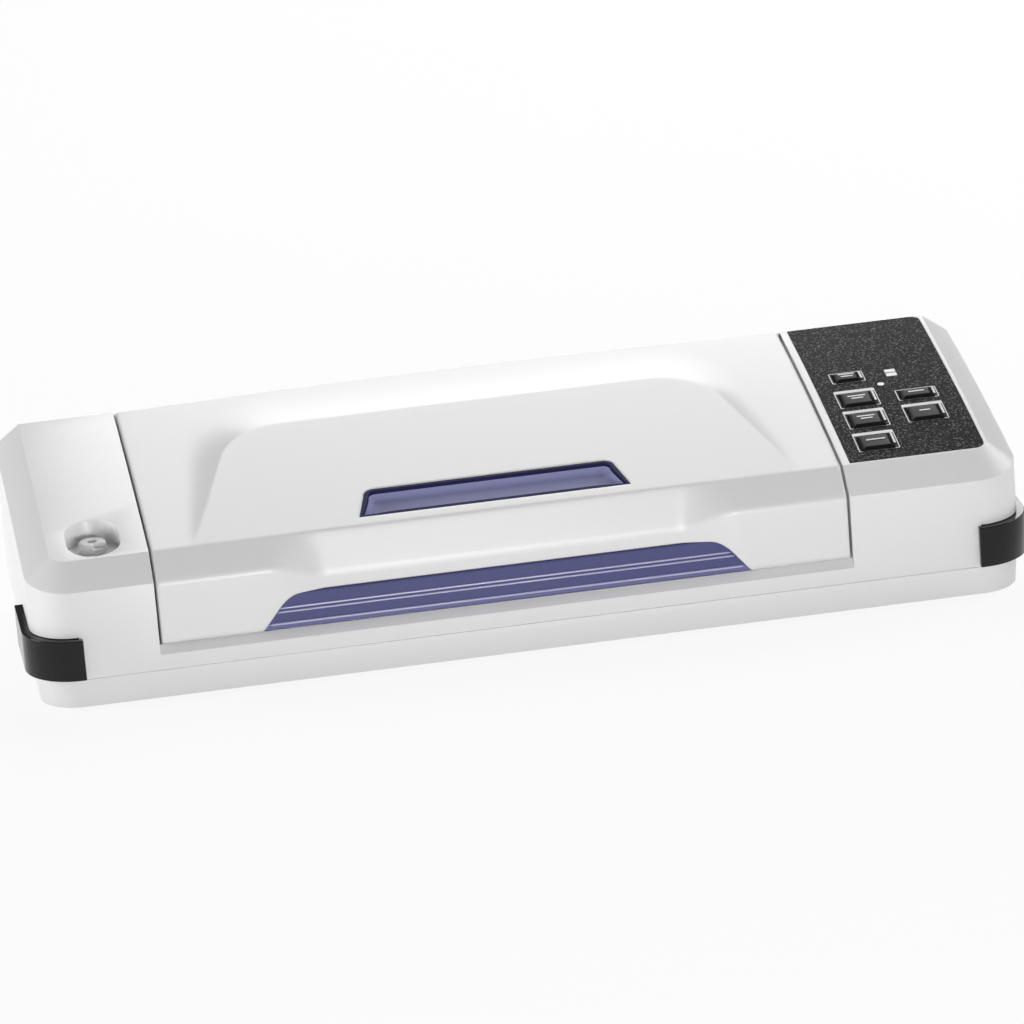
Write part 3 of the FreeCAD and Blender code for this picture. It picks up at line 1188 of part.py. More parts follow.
def build():
    """Every piece under its node's name."""
    pieces = {
        "base_pan": base_pan(),
        "feet": feet(),
        "base_screws": base_screws(),
        "top_housing": top_housing(),
        "control_panel": control_panel(),
        "control_board": control_board(),
        "board_screws": board_screws(),
        "key_switches": key_switches(),
        "power_lens": power_lens(),
        "canister_port": canister_port(),
        "lower_gasket": lower_gasket(),
        "seal_bar": seal_bar(),
        "heating_strip": heating_strip(),
        "seal_tape": seal_tape(),
        "drip_tray": drip_tray(),
        "hinge_pins": hinge_pins(),
        "lid_cover": lid_cover(),
        "lid_window": lid_window(),
        "front_grip": front_grip(),
        "lid_liner": lid_liner(),
        "lid_gasket": lid_gasket(),
        "liner_screws": liner_screws(),
        "pressure_strip": pressure_strip(),
        "lid_hooks": lid_hooks(),
        "left_release_button": release_button(),
        "right_release_button": mirrored(release_button()),
        "left_latch_slider": latch_slider(),
        "right_latch_slider": right_latch_slider(),
        "left_button_spring": button_spring(),
        "right_button_spring": mirrored(button_spring()),
        "pump_motor": pump_motor(),
        "pump_head": pump_head(),
        "transformer_core": transformer_core(),
        "transformer_coil": transformer_coil(),
        "release_valve": release_valve(),
        "vacuum_sensor": vacuum_sensor(),
        "lid_switches": lid_switches(),
        "chamber_hose": chamber_hose(),
        "port_hose": port_hose(),
        "mains_inlet": mains_inlet(),
        "inlet_blades": inlet_blades(),
    }
    for name, across, back, width, depth in KEYS:
        pieces[name] = key(across, back, width, depth)
    for name, across, back in BAR_LENSES_AT:
        pieces[name] = mode_lens(across, back)
    return pieces


def right_latch_slider():
    """The slider at the lid's right edge, which reaches out to the right-hand button."""
    near = right_side(latch_slider())
    y0 = FRONT_Y + SLIDER_FRONT
    outer = HALF_W - BUTTON_IN
    reach = box(near.BoundBox.XMin, outer, y0, y0 + SLIDER_W, SLIDER_Z, SLIDER_Z + SLIDER_T)
    hook_x = LID_X1 - HOOK_IN - HOOK_T
    slot = box(
        hook_x - CLEAR, hook_x + HOOK_T + BUTTON_TRAVEL + CLEAR,
        HOOK_Y - HOOK_W / 2 - HOOK_SWING, HOOK_Y + HOOK_W / 2 + CLEAR, SLIDER_Z, SLIDER_Z + SLIDER_T,
    )
    return reach.cut(slot)


os.makedirs("parts", exist_ok=True)
for node, shape in build().items():
    shape.exportStep(f"parts/{node}.step")
    print(f"{node}: {len(shape.Solids)} solids, {shape.Volume:.0f} mm3, valid {shape.isValid()}")
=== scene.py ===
import math

import bmesh
import bpy
import numpy as np
from mathutils import Matrix, Vector


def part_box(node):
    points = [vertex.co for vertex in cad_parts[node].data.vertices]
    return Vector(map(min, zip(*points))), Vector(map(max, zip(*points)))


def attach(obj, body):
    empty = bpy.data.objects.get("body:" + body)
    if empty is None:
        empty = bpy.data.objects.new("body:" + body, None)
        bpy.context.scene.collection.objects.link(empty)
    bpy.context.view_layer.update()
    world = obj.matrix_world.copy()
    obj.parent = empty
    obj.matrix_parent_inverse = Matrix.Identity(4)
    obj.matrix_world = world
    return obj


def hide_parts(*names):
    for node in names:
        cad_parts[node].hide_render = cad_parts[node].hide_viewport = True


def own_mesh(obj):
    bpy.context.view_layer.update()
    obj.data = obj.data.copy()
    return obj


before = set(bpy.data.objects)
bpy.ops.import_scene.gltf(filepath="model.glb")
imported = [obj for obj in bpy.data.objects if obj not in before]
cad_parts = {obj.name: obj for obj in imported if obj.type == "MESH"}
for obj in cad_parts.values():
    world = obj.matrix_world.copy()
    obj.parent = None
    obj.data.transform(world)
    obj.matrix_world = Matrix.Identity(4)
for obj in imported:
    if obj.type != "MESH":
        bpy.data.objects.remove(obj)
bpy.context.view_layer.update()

# Base pan: the shallow white tray that the whole sealer stands on, moulded in one piece
# with drawn-in sides. It is screwed to the upper casing from below, and its edges are
# slightly rounded by the mould.
MM = 0.001
GRAIN_DETAIL, GRAIN_RELIEF = 3.0, 0.2 * MM
WELD, FLAT_TURN, SHARP_TURN = 2e-6, math.radians(0.6), math.radians(24)


def procedural(name, colour, roughness, grain=0.05, grain_scale=900.0, bump=0.0, **sockets):
    """A finish whose roughness and relief follow a fine noise over the piece's own coordinates."""
    finish = bpy.data.materials.new(name)
    finish.use_nodes = True
    nodes, links = finish.node_tree.nodes, finish.node_tree.links
    shader = nodes["Principled BSDF"]
    shader.inputs["Base Color"].default_value = (*colour, 1.0)
    for socket, value in sockets.items():
        shader.inputs[socket.replace("_", " ")].default_value = value
    place = nodes.new("ShaderNodeTexCoord")
    noise = nodes.new("ShaderNodeTexNoise")
    noise.inputs["Scale"].default_value = grain_scale
    noise.inputs["Detail"].default_value = GRAIN_DETAIL
    links.new(place.outputs["Object"], noise.inputs["Vector"])
    spread = nodes.new("ShaderNodeMapRange")
    spread.inputs["To Min"].default_value = roughness - grain
    spread.inputs["To Max"].default_value = roughness + grain
    links.new(noise.outputs["Fac"], spread.inputs["Value"])
    links.new(spread.outputs["Result"], shader.inputs["Roughness"])
    if bump > 0.0:
        relief = nodes.new("ShaderNodeBump")
        relief.inputs["Strength"].default_value = bump
        relief.inputs["Distance"].default_value = GRAIN_RELIEF
        links.new(noise.outputs["Fac"], relief.inputs["Height"])
        links.new(relief.outputs["Normal"], shader.inputs["Normal"])
    return finish


def softened(node, body, finish, width, segments=3):
    """A copy of a solid's mesh with its flat facets joined and every sharp edge rounded by a bevel."""
    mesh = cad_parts[node].data.copy()
    mesh.name = node + "_moulded"
    work = bmesh.new()
    work.from_mesh(mesh)
    bmesh.ops.remove_doubles(work, verts=work.verts, dist=WELD)
    bmesh.ops.dissolve_limit(work, angle_limit=FLAT_TURN, verts=work.verts, edges=work.edges)
    work.to_mesh(mesh)
    work.free()
    mesh.materials.clear()
    mesh.materials.append(finish)
    mesh.shade_smooth()
    piece = bpy.data.objects.new(mesh.name, mesh)
    bpy.context.scene.collection.objects.link(piece)
    edge = piece.modifiers.new("rounded edges", "BEVEL")
    edge.width = width * MM
    edge.segments = segments
    edge.limit_method = "ANGLE"
    edge.angle_limit = SHARP_TURN
    edge.harden_normals = True
    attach(piece, body)
    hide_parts(node)
    return piece


white = procedural("satin white moulding", (0.80, 0.80, 0.80), 0.36, bump=0.05)
softened("base_pan", "casing", white, 0.7)

# Rubber feet and the steel screws under the base pan. The feet are discs stuck into
# place, the screws hold the pan to the casing's pillars.
rubber = procedural("black rubber", (0.03, 0.03, 0.03), 0.75, grain=0.1, bump=0.2)
steel = procedural("plain steel", (0.58, 0.59, 0.60), 0.32, grain=0.1, Metallic=1.0)


def dress(finish, *nodes):
    """Gives a finish to solids that are shown as they are."""
    for node in nodes:
        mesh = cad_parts[node].data
        mesh.materials.clear()
        mesh.materials.append(finish)


dress(rubber, "feet")
dress(steel, "base_screws")

# Upper casing: one white moulding with two end pods, the sill along the front and the
# deck under the lid. The pods' tops are bevelled all round and the front corners are
# rolled; the pocket for the canister port is sunk into the left pod.
softened("top_housing", "casing", white, 0.8)

# Canister port: a short white nozzle pressed through the bottom of the pocket, with a
# hole for the hose of a storage canister.
softened("canister_port", "casing", white, 0.3)

# Lid: a white shell that is hinged at the rear. Its top rises to a flat dome with a crisp
# edge and hollow flanks, and its front is scooped back for the fingers, with an opening
# for the grip below and one for the window on top.
(LID_X0, FRONT_Y, LID_LOW), (LID_X1, REAR_Y, _) = (np.array(end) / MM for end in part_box("lid_cover"))
LID_MID, LID_HALF = (LID_X0 + LID_X1) / 2, (LID_X1 - LID_X0) / 2
LID_ROLL, LID_WALL, CREASE_TURN = 1.2, 2.2, math.radians(30)
TOP_FRONT, TOP_REAR, TOP_CROWN = 70.9, 96.4, 2.0
CREASE_Y, CREASE_LOW = FRONT_Y + 12.75, 61.4
REAR_LOW, HUMP_Y = 60.0, REAR_Y - 54.2
SCOOP_DEEP, SCOOP_DROP, SCOOP_HALF, SCOOP_FLARE = 6.5, 8.4, 86.0, 30.0
GRIP_HALF, GRIP_LEAN, GRIP_HIGH, GRIP_SOFT = 121.0, 14.0, 17.0, 0.4
FOLD_SOFT, CREST_SOFT, RIM_SOFT, LID_CLEAR = 2.6, 1.4, 1.2, 0.9
TOP_START, TOP_END = CREASE_Y + 2.6, REAR_Y - 1.5
RIDGE_Y, DOME_RISE, DOME_CORNER, DOME_TAIL = REAR_Y - 51.5, 7.0, 24.0, 50.0
DOME_HALF_FRONT, DOME_HALF_RIDGE, REAR_ARCH = 149.0, 118.0, 2.2
FLANK_FRONT, FLANK_REAR, TINY = 4.0, 24.0, 1e-9
WINDOW_Y0, WINDOW_Y1, WINDOW_R, WINDOW_EASE = CREASE_Y + 6.6, CREASE_Y + 29.8, 5.0, 30.0
WINDOW_HALF, WINDOW_HALF_REAR = 67.2, 61.0


def smooth(t):
    """Eases from nought to one: three times the square less twice the cube."""
    t = np.clip(t, 0.0, 1.0)
    return t * t * (3.0 - 2.0 * t)


def top_height(y):
    """Height of the casing's top: a shallow arc through its front and rear heights, raised by its crown."""
    deep, rise = REAR_Y - FRONT_Y, TOP_REAR - TOP_FRONT
    half = math.hypot(deep, rise) / 2
    radius = (half ** 2 + TOP_CROWN ** 2) / (2 * TOP_CROWN)
    tilt = math.atan(rise / deep)
    centre_y = (FRONT_Y + REAR_Y) / 2 + (radius - TOP_CROWN) * math.sin(tilt)
    centre_z = (TOP_FRONT + TOP_REAR) / 2 - (radius - TOP_CROWN) * math.cos(tilt)
    return centre_z + np.sqrt(radius ** 2 - (y - centre_y) ** 2)


def dome_height(x, y):
    """Rise of the dome: a ramp to the ridge inside a rounded outline, then falling off with the square of the
    distance outside that outline; the rear edge of the lid keeps a low arch."""
    ahead = np.clip((y - CREASE_Y) / (RIDGE_Y - CREASE_Y), 0.0, 1.0)
    side = np.abs(x - LID_MID) - DOME_HALF_FRONT + (DOME_HALF_FRONT - DOME_HALF_RIDGE) * ahead + DOME_CORNER
    back = y - RIDGE_Y + DOME_CORNER
    past_side, past_back = np.maximum(side, 0.0), np.maximum(back, 0.0)
    outside = np.hypot(past_side, past_back) + np.minimum(np.maximum(side, back), 0.0) - DOME_CORNER
    turn = past_back ** 2 / np.maximum(past_side ** 2 + past_back ** 2, TINY)
    flank = FLANK_FRONT + (FLANK_REAR - FLANK_FRONT) * ahead
    reach = flank * (1.0 - turn) + DOME_TAIL * turn
    share = (1.0 - np.clip(outside / reach, 0.0, 1.0)) ** 2
    arch = REAR_ARCH * (1.0 - ((x - LID_MID) / LID_HALF) ** 2) * smooth((y - CREASE_Y) / (REAR_Y - CREASE_Y))
    return DOME_RISE * ahead * share + arch * (1.0 - share)


def lid_top(x, y):
    """Height of the lid's top surface: the casing's top with the dome on it."""
    return top_height(y) + dome_height(x, y)


def window_edge(y):
    """Half width of the window's outline: leaning sides with rounded rear corners, eased out behind it."""
    start = WINDOW_Y1 - WINDOW_R
    lean = (WINDOW_HALF_REAR - WINDOW_HALF) / (WINDOW_Y1 - WINDOW_Y0)
    side = WINDOW_HALF + lean * (np.clip(y, WINDOW_Y0, start) - WINDOW_Y0)
    bend = np.clip((y - start) / WINDOW_R, 0.0, 1.0)
    side = side - WINDOW_R * (1.0 - np.sqrt(1.0 - bend ** 2))
    return side + smooth((y - WINDOW_Y1) / WINDOW_EASE) * (WINDOW_HALF - side)


def grip_top(away):
    """Height of the lid's lower front line: clear of the sill at the ends, up a slope to the top of the grip,
    which it meets in a parabola."""
    slope = np.clip((GRIP_HALF - away) / GRIP_LEAN, 0.0, None)
    near = np.maximum(1.0 - np.abs(slope - 1.0) / GRIP_SOFT, 0.0)
    rise = GRIP_HIGH * (np.minimum(slope, 1.0) - near ** 2 * GRIP_SOFT / 4)
    return LID_LOW + np.maximum(rise, LID_CLEAR)


def toward(p, q, reach):
    """The point at a reach from p on the way to q."""
    way = q - p
    return p + reach * way / np.linalg.norm(way, axis=-1, keepdims=True)


def corner(a, p, b, reach, steps):
    """Rounds the corner p between a and b: a parabola that leaves and meets the sides at a reach."""
    t = np.linspace(0.0, 1.0, steps)[:, None, None]
    return (1 - t) ** 2 * toward(p, a, reach) + 2 * t * (1 - t) * p + t ** 2 * toward(p, b, reach)


def run(a, b, steps):
    """Straight rows from a to b, without the first and the last."""
    t = np.linspace(0.0, 1.0, steps + 2)[1:-1, None, None]
    return a + t * (b - a)


def quads(rows, cols):
    """Corner numbers of a grid's faces, one row of faces after another."""
    at = np.arange(rows * cols).reshape(rows, cols)
    return np.stack([at[:-1, :-1], at[:-1, 1:], at[1:, 1:], at[1:, :-1]], -1)


def new_piece(name, points, faces, finish, body, stands_for=(), wall=0.0):
    """A mesh from points in millimetres and faces, smooth up to 30 degrees, on a body of the sealer."""
    mesh = bpy.data.meshes.new(name)
    points = np.asarray(points).reshape(-1, 3) * MM
    mesh.from_pydata(points.tolist(), [], np.asarray(faces).reshape(-1, 4).tolist())
    work = bmesh.new()
    work.from_mesh(mesh)
    bmesh.ops.remove_doubles(work, verts=work.verts, dist=WELD)
    bmesh.ops.delete(work, geom=[v for v in work.verts if not v.link_faces], context="VERTS")
    work.to_mesh(mesh)
    work.free()
    mesh.shade_smooth()
    mesh.set_sharp_from_angle(angle=CREASE_TURN)
    mesh.materials.append(finish)
    piece = bpy.data.objects.new(name, mesh)
    bpy.context.scene.collection.objects.link(piece)
    if wall > 0.0:
        thick = piece.modifiers.new("wall", "SOLIDIFY")
        thick.thickness = wall * MM
        thick.offset = -1.0
    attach(piece, body)
    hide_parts(*stands_for)


def lid_grid():
    """Rows run up the front, over the bevel and the top and down the rear; columns follow the window's sides.
    The front's crease slides back and down towards the scoop, and the lowest row lifts over the grip."""
    half = LID_HALF - LID_ROLL
    inner = np.linspace(-WINDOW_HALF, WINDOW_HALF, 49)
    outer = np.linspace(WINDOW_HALF, half, 79)[1:]
    base = np.concatenate([-outer[::-1], inner, outer])
    away = np.abs(base)
    scoop = 1.0 - smooth((away - SCOOP_HALF) / SCOOP_FLARE)

    def line(y, z):
        """A row of points across the lid at a depth and a height."""
        return np.stack([LID_MID + base, y + 0 * base, z + 0 * base], -1)

    face_y = FRONT_Y + SCOOP_DEEP * scoop
    low, fold = line(face_y, grip_top(away)), line(face_y, CREASE_LOW - SCOOP_DROP * scoop)
    crest = line(CREASE_Y, top_height(CREASE_Y))
    behind = line(WINDOW_Y0, lid_top(LID_MID + base, WINDOW_Y0))
    front = np.concatenate([
        low[None], run(low, toward(fold, low, FOLD_SOFT), 10), corner(low, fold, crest, FOLD_SOFT, 9),
        run(toward(fold, crest, FOLD_SOFT), toward(crest, fold, CREST_SOFT), 6),
        corner(fold, crest, behind, CREST_SOFT, 7),
    ])
    to_window = np.linspace(TOP_START, WINDOW_Y0, 4)
    beside = np.linspace(WINDOW_Y0, WINDOW_Y1 - WINDOW_R, 9)[1:]
    bend = WINDOW_Y1 - WINDOW_R + WINDOW_R * np.sin(np.linspace(0.0, np.pi / 2, 10))[1:]
    to_ridge = np.linspace(WINDOW_Y1, RIDGE_Y, 45)[1:]
    to_rear = np.linspace(RIDGE_Y, TOP_END, 31)[1:]
    ys = np.concatenate([to_window, beside, bend, to_ridge, to_rear])
    edge = window_edge(ys)[:, None]
    outside = edge + (away - WINDOW_HALF) * (half - edge) / (half - WINDOW_HALF)
    top_x = LID_MID + np.where(away <= WINDOW_HALF, base * edge / WINDOW_HALF, np.sign(base) * outside)
    top_y = np.repeat(ys[:, None], len(base), 1)
    top = np.stack([top_x, top_y, lid_top(top_x, top_y)], -1)
    rim = line(REAR_Y, lid_top(LID_MID + base, REAR_Y))
    foot = line(REAR_Y, REAR_LOW)
    rolled = corner(top[-1], rim, foot, RIM_SOFT, 5)
    rear = np.concatenate([rolled, run(rolled[-1], foot, 5), foot[None]])
    first_row, first_column = len(front) + len(to_window) - 1, len(outer)
    hole = np.s_[first_row:first_row + len(beside) + len(bend), first_column:first_column + len(inner) - 1]
    return np.concatenate([front, top, rear]), hole


def lid_side(rows, side):
    """Rolls the grid's last column over the lid's edge and takes it down the side wall to its lower line."""
    profile = rows[:, 0 if side < 0 else -1, 1:]
    along = np.gradient(profile, axis=0)
    along /= np.linalg.norm(along, axis=1, keepdims=True)
    outward = np.stack([-along[:, 1], along[:, 0]], 1)
    turn = np.linspace(0.0, np.pi / 2, 5)[1:]
    rolled = profile[None] - outward[None] * LID_ROLL * (1.0 - np.cos(turn))[:, None, None]
    edge_x = (LID_X0 if side < 0 else LID_X1) - side * LID_ROLL * (1.0 - np.sin(turn))
    walked = np.concatenate([[0.0], np.cumsum(np.linalg.norm(np.diff(profile, axis=0), axis=1))])
    lower = np.array([rolled[-1, 0], [HUMP_Y, LID_LOW], [HUMP_Y, REAR_LOW], rolled[-1, -1]])
    reach = np.concatenate([[0.0], np.cumsum(np.linalg.norm(np.diff(lower, axis=0), axis=1))])
    share = walked / walked[-1] * reach[-1]
    bottom = np.stack([np.interp(share, reach, lower[:, 0]), np.interp(share, reach, lower[:, 1])], 1)
    step = np.linspace(0.0, 1.0, 6)[1:, None, None]
    wall = rolled[-1] + step * (bottom - rolled[-1])
    sections = np.concatenate([rolled, wall])
    across = np.concatenate([edge_x, np.full(len(wall), edge_x[-1])])
    columns = np.insert(sections, 0, across[:, None], axis=2).transpose(1, 0, 2)
    return columns[:, ::-1] if side < 0 else columns


lid_rows, window_hole = lid_grid()
left_wall, right_wall = lid_side(lid_rows, -1), lid_side(lid_rows, 1)
middle_faces = quads(*lid_rows.shape[:2])
lid_points = np.concatenate([left_wall, lid_rows, right_wall], 1)
shown = np.ones((len(lid_rows) - 1, lid_points.shape[1] - 1), bool)
shown[:, left_wall.shape[1]:left_wall.shape[1] + middle_faces.shape[1]][window_hole] = False
lid_faces = quads(*lid_points.shape[:2])[shown]
new_piece("lid_shell", lid_points, lid_faces, white, "lid", ["lid_cover"], LID_WALL)

# Hinge ears: two round white bosses inside the lid's rear corners, moulded with the lid,
# in which the steel hinge pins turn.
EAR_R, EAR_LONG, EAR_Y, EAR_Z = 4.5, 10.0, REAR_Y - 6.5, 66.0


def turned(radii, places, steps=32):
    """A body of revolution about a line along X: rings of the given radii at the given places."""
    angle = np.linspace(0.0, 2 * np.pi, steps + 1)
    radii, places = np.array(radii)[:, None], np.array(places)[:, None]
    return np.stack([places + 0 * angle, EAR_Y + radii * np.cos(angle), EAR_Z + radii * np.sin(angle)], -1)


for ear, start in (("left_ear", LID_X0), ("right_ear", LID_X1 - EAR_LONG)):
    boss = turned([0.0, EAR_R, EAR_R, 0.0], [start, start, start + EAR_LONG, start + EAR_LONG])
    new_piece(ear, boss, quads(*boss.shape[:2])[..., ::-1], white, "lid")

# Window in the lid: a shallow pan of blue see-through plastic, clipped in from below. Its
# rim is painted dark navy, partly the blue of the thick plastic and partly painted shade for the
# shadow on its wall. Its thin hollow is painted pale blue, a painted light for the white liner
# shining through.
# Painted shade: the rim's dark navy stands partly for the shadow on its wall.
rim_blue_and_shade = procedural("dark blue plastic with painted shade", (0.016, 0.017, 0.070), 0.4, Specular_IOR_Level=0.04)
# Painted light: the hollow's pale blue stands for the white liner shining through.
hollow_blue_and_light = procedural("pale blue plastic with painted light", (0.30, 0.31, 0.53), 0.35, Specular_IOR_Level=0.1)
RIM = [(0.1, 3.6), (0.1, 0.3), (0.4, 0.05), (2.3, 0.05), (2.6, 0.3), (2.7, 1.8)]
WINDOW_LINE = 50.0
HOLLOW = [(2.7, 1.7), (3.1, 2.6), (4.0, 3.7), (5.4, 4.6), (7.2, 5.0)]


def window_rings(profile, to_middle=()):
    """Rings inside the window's outline at (inset, depth) pairs, then drawn to the middle line."""
    start = WINDOW_Y1 - WINDOW_R
    ys = np.concatenate([
        np.linspace(WINDOW_Y0, start, 12), start + WINDOW_R * np.sin(np.linspace(0.0, np.pi / 2, 12))[1:],
    ])
    side = np.stack([window_edge(ys), ys], 1)
    front = np.linspace(-WINDOW_HALF, WINDOW_HALF, 30)[1:-1]
    across = np.stack([front, np.full(len(front), WINDOW_Y0)], 1)
    loop = np.concatenate([across, side, side[::-1] * (-1, 1)])
    loop = np.concatenate([loop, loop[:1]])
    middle_x = np.clip(loop[:, 0], -WINDOW_LINE, WINDOW_LINE)
    middle = np.stack([middle_x, np.full(len(loop), (WINDOW_Y0 + WINDOW_Y1) / 2)], 1)
    flats = [toward(loop, middle, inset) for inset, _ in profile]
    flats += [flats[-1] + share * (middle - flats[-1]) for share in to_middle]
    depths = [depth for _, depth in profile] + [profile[-1][1]] * len(to_middle)
    x, y = np.stack(flats)[..., 0] + LID_MID, np.stack(flats)[..., 1]
    return np.stack([x, y, lid_top(x, y) - np.array(depths)[:, None]], -1)


rim = window_rings(RIM)
hollow = window_rings(HOLLOW, (0.35, 0.7, 1.0))
new_piece("window_rim", rim, quads(*rim.shape[:2]), rim_blue_and_shade, "lid", ["lid_window"])
new_piece("window_hollow", hollow, quads(*hollow.shape[:2]), hollow_blue_and_light, "lid")

# Grip: a blue strip that fills the opening in the lid's front and leans back, so that the
# fingers find it. It is clipped in behind the lid's front wall and ends below in a lip.
steel_blue = procedural("blue plastic", (0.085, 0.090, 0.23), 0.4, Specular_IOR_Level=0.1)
lip_blue = procedural("thin blue plastic", (0.15, 0.155, 0.33), 0.4, Specular_IOR_Level=0.1)
LIP, GRIP_WALL, GRIP_SET, GRIP_TILT = 3.0, 2.0, 0.8, 5.2


def grip_half(up):
    """Half width of the grip at a height over its lower edge: its ends lean inwards."""
    return GRIP_HALF - GRIP_LEAN * up / GRIP_HIGH


def grip_face(up):
    """Depth of the grip's leaning front at a height over its lower edge."""
    return FRONT_Y + GRIP_SET + GRIP_TILT * up / GRIP_HIGH


def grip_strip(low, high):
    """A leaning strip between two heights, cut off where the lid's lower front line comes below them."""
    across = np.linspace(-grip_half(low), grip_half(low), 241)
    roof = np.minimum(high, grip_top(np.abs(across)) - LID_LOW)
    up = low + np.linspace(0.0, 1.0, 12)[:, None] * (roof - low)
    return np.stack([LID_MID + across + 0 * up, grip_face(up), LID_LOW + up], -1)


upper, lip = grip_strip(LIP, GRIP_HIGH), grip_strip(LID_CLEAR, LIP)
strip_faces = quads(*upper.shape[:2])
new_piece("grip_strip", upper, strip_faces, steel_blue, "lid", ["front_grip"], GRIP_WALL)
new_piece("grip_lip", lip, strip_faces, lip_blue, "lid", (), GRIP_WALL)

# Ribs of the grip: a pair across the middle and one over the lip, moulded with the strip.
# Their paler blue is a painted highlight for the light that their thin edges catch.
# Painted highlight: the ribs' pale blue stands for the light that they catch.
pale = procedural("blue edge with painted highlight", (0.42, 0.43, 0.62), 0.25)
RIB_POINT = 0.02
RIBS = {"rib_low": (LIP, 0.6), "rib_middle": (8.3, 0.5), "rib_upper": (10.1, 0.5)}


def grip_rib(up, radius):
    """A thin round rib along the grip whose ends run out to a point."""
    share = np.linspace(-1.0, 1.0, 81)
    thin = radius * np.sqrt(np.clip((1.0 - np.abs(share)) / RIB_POINT, 0.0, 1.0))
    angle = np.linspace(0.0, 2 * np.pi, 13)[:, None]
    x = LID_MID + grip_half(up) * share + 0 * angle
    return np.stack([x, grip_face(up) - thin * np.cos(angle), LID_LOW + up + thin * np.sin(angle)], -1)


for rib, (up, radius) in RIBS.items():
    rod = grip_rib(up, radius)
    new_piece(rib, rod, quads(*rod.shape[:2]), pale, "lid")

# Inside of the lid: a white liner with the chamber's hollow, a grey foam frame, the black
# strip that presses on the seal bar, its screws and the two steel hooks.
foam = procedural("grey foam", (0.16, 0.16, 0.17), 0.85, grain=0.1, grain_scale=500.0, bump=0.4)
dress(white, "lid_liner")
dress(foam, "lid_gasket", "lower_gasket")
dress(rubber, "pressure_strip")
dress(steel, "liner_screws", "lid_hooks", "hinge_pins")

# Deck under the lid: an aluminium seal bar with its heating ribbon under brown woven
# tape, and a loose black drip tray in the trough.
dull_black = procedural("satin black plastic", (0.03, 0.03, 0.032), 0.45, bump=0.05)
alloy = procedural("drawn aluminium", (0.70, 0.71, 0.72), 0.35, grain=0.1, Metallic=1.0)
tape = procedural("woven tape", (0.30, 0.19, 0.09), 0.6, grain=0.1, grain_scale=1400.0, bump=0.3)
dress(alloy, "seal_bar")
dress(steel, "heating_strip")
dress(tape, "seal_tape")
dress(dull_black, "drip_tray")

# Release buttons: glossy black corner pieces, one at each front corner, that wrap the
# casing and are pushed in from the sides to free the lid.
gloss_black = procedural("gloss black plastic", (0.008, 0.008, 0.008), 0.15, Specular_IOR_Level=0.26)
softened("left_release_button", "left_release", gloss_black, 1.3, 4)
softened("right_release_button", "right_release", gloss_black, 1.3, 4)
dress(dull_black, "left_latch_slider", "right_latch_slider")

# Leaf springs behind the release buttons: bowed strips of steel between each button and a
# post on the base pan. In the sealer a pressed button flattens its spring towards the post;
# here each spring is shown bowed, at rest, on a mesh of its own.
for side, post in (("left", 1), ("right", 0)):
    spring = softened(side + "_button_spring", "casing", steel, 0.1, 1)
    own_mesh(spring)

# Control panel: a dark film with fine metal flakes on a thin plate, which is let into the
# right pod's top and glued there.
panel_film = procedural("speckled panel film", (0.012, 0.012, 0.012), 0.5, Specular_IOR_Level=0.03)


def add_sparkle(finish, scale, share, bright):
    """Lightens the rare cells of a fine cell pattern, like metal flakes in a lacquer."""
    nodes, links = finish.node_tree.nodes, finish.node_tree.links
    place = nodes.new("ShaderNodeTexCoord")
    cells = nodes.new("ShaderNodeTexVoronoi")
    cells.inputs["Scale"].default_value = scale
    links.new(place.outputs["Object"], cells.inputs["Vector"])
    split = nodes.new("ShaderNodeSeparateColor")
    links.new(cells.outputs["Color"], split.inputs["Color"])
    pick = nodes.new("ShaderNodeMapRange")
    pick.inputs["From Min"].default_value = 1.0 - share
    links.new(split.outputs["Red"], pick.inputs["Value"])
    mix = nodes.new("ShaderNodeMix")
    mix.data_type = "RGBA"
    shader = nodes["Principled BSDF"]
    mix.inputs["A"].default_value = shader.inputs["Base Color"].default_value
    mix.inputs["B"].default_value = (*bright, 1.0)
    links.new(pick.outputs["Result"], mix.inputs["Factor"])
    links.new(mix.outputs["Result"], shader.inputs["Base Color"])


add_sparkle(panel_film, 1500.0, 0.24, (0.18, 0.18, 0.18))
dress(panel_film, "control_panel")

# Keys: black caps with bevelled edges that stand out of the panel, each over its own
# small switch. Where a name would be, each cap carries plain short rules.
key_black = procedural("satin black key", (0.010, 0.010, 0.010), 0.3, Specular_IOR_Level=0.06)
# White print for the key rules and frame lines, also used for the painted highlights round the keys.
print_and_glint = procedural("white print and painted glint", (0.78, 0.78, 0.78), 0.5)
KEY_RULES = {
    "key_mode": (8.0, 6.0), "key_vacuum_seal": (9.0, 6.0), "key_pulse": (9.0, 6.0),
    "key_canister": (9.5,), "key_cancel": (8.0,), "key_seal": (5.5,),
}
RULE_DEEP, RULE_PITCH, PRINT_UP = 1.1, 2.4, 0.04


def key_rules(key, lengths):
    """Flat bars side by side on a key's top, whose plane leans like the panel under it."""
    low, high = (np.array(end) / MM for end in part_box(key))
    middle = (low + high) / 2
    slope = top_height(middle[1] + 0.5) - top_height(middle[1] - 0.5)
    vertices = np.array([v.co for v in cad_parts[key].data.vertices]) / MM
    crown = np.max(vertices[:, 2] - slope * (vertices[:, 1] - middle[1])) + PRINT_UP
    back = RULE_PITCH * (np.arange(len(lengths)) - (len(lengths) - 1) / 2)
    x = middle[0] + np.array(lengths)[:, None] / 2 * (-1, 1, 1, -1)
    y = middle[1] - back[:, None] + RULE_DEEP / 2 * np.array((-1, -1, 1, 1))
    return np.stack([x, y, crown + slope * (y - middle[1])], -1)


for key, lengths in KEY_RULES.items():
    softened(key, key + "_body", key_black, 0.3)
    bars = key_rules(key, lengths)
    new_piece(key + "_rules", bars, np.arange(4 * len(lengths)), print_and_glint, key + "_body")

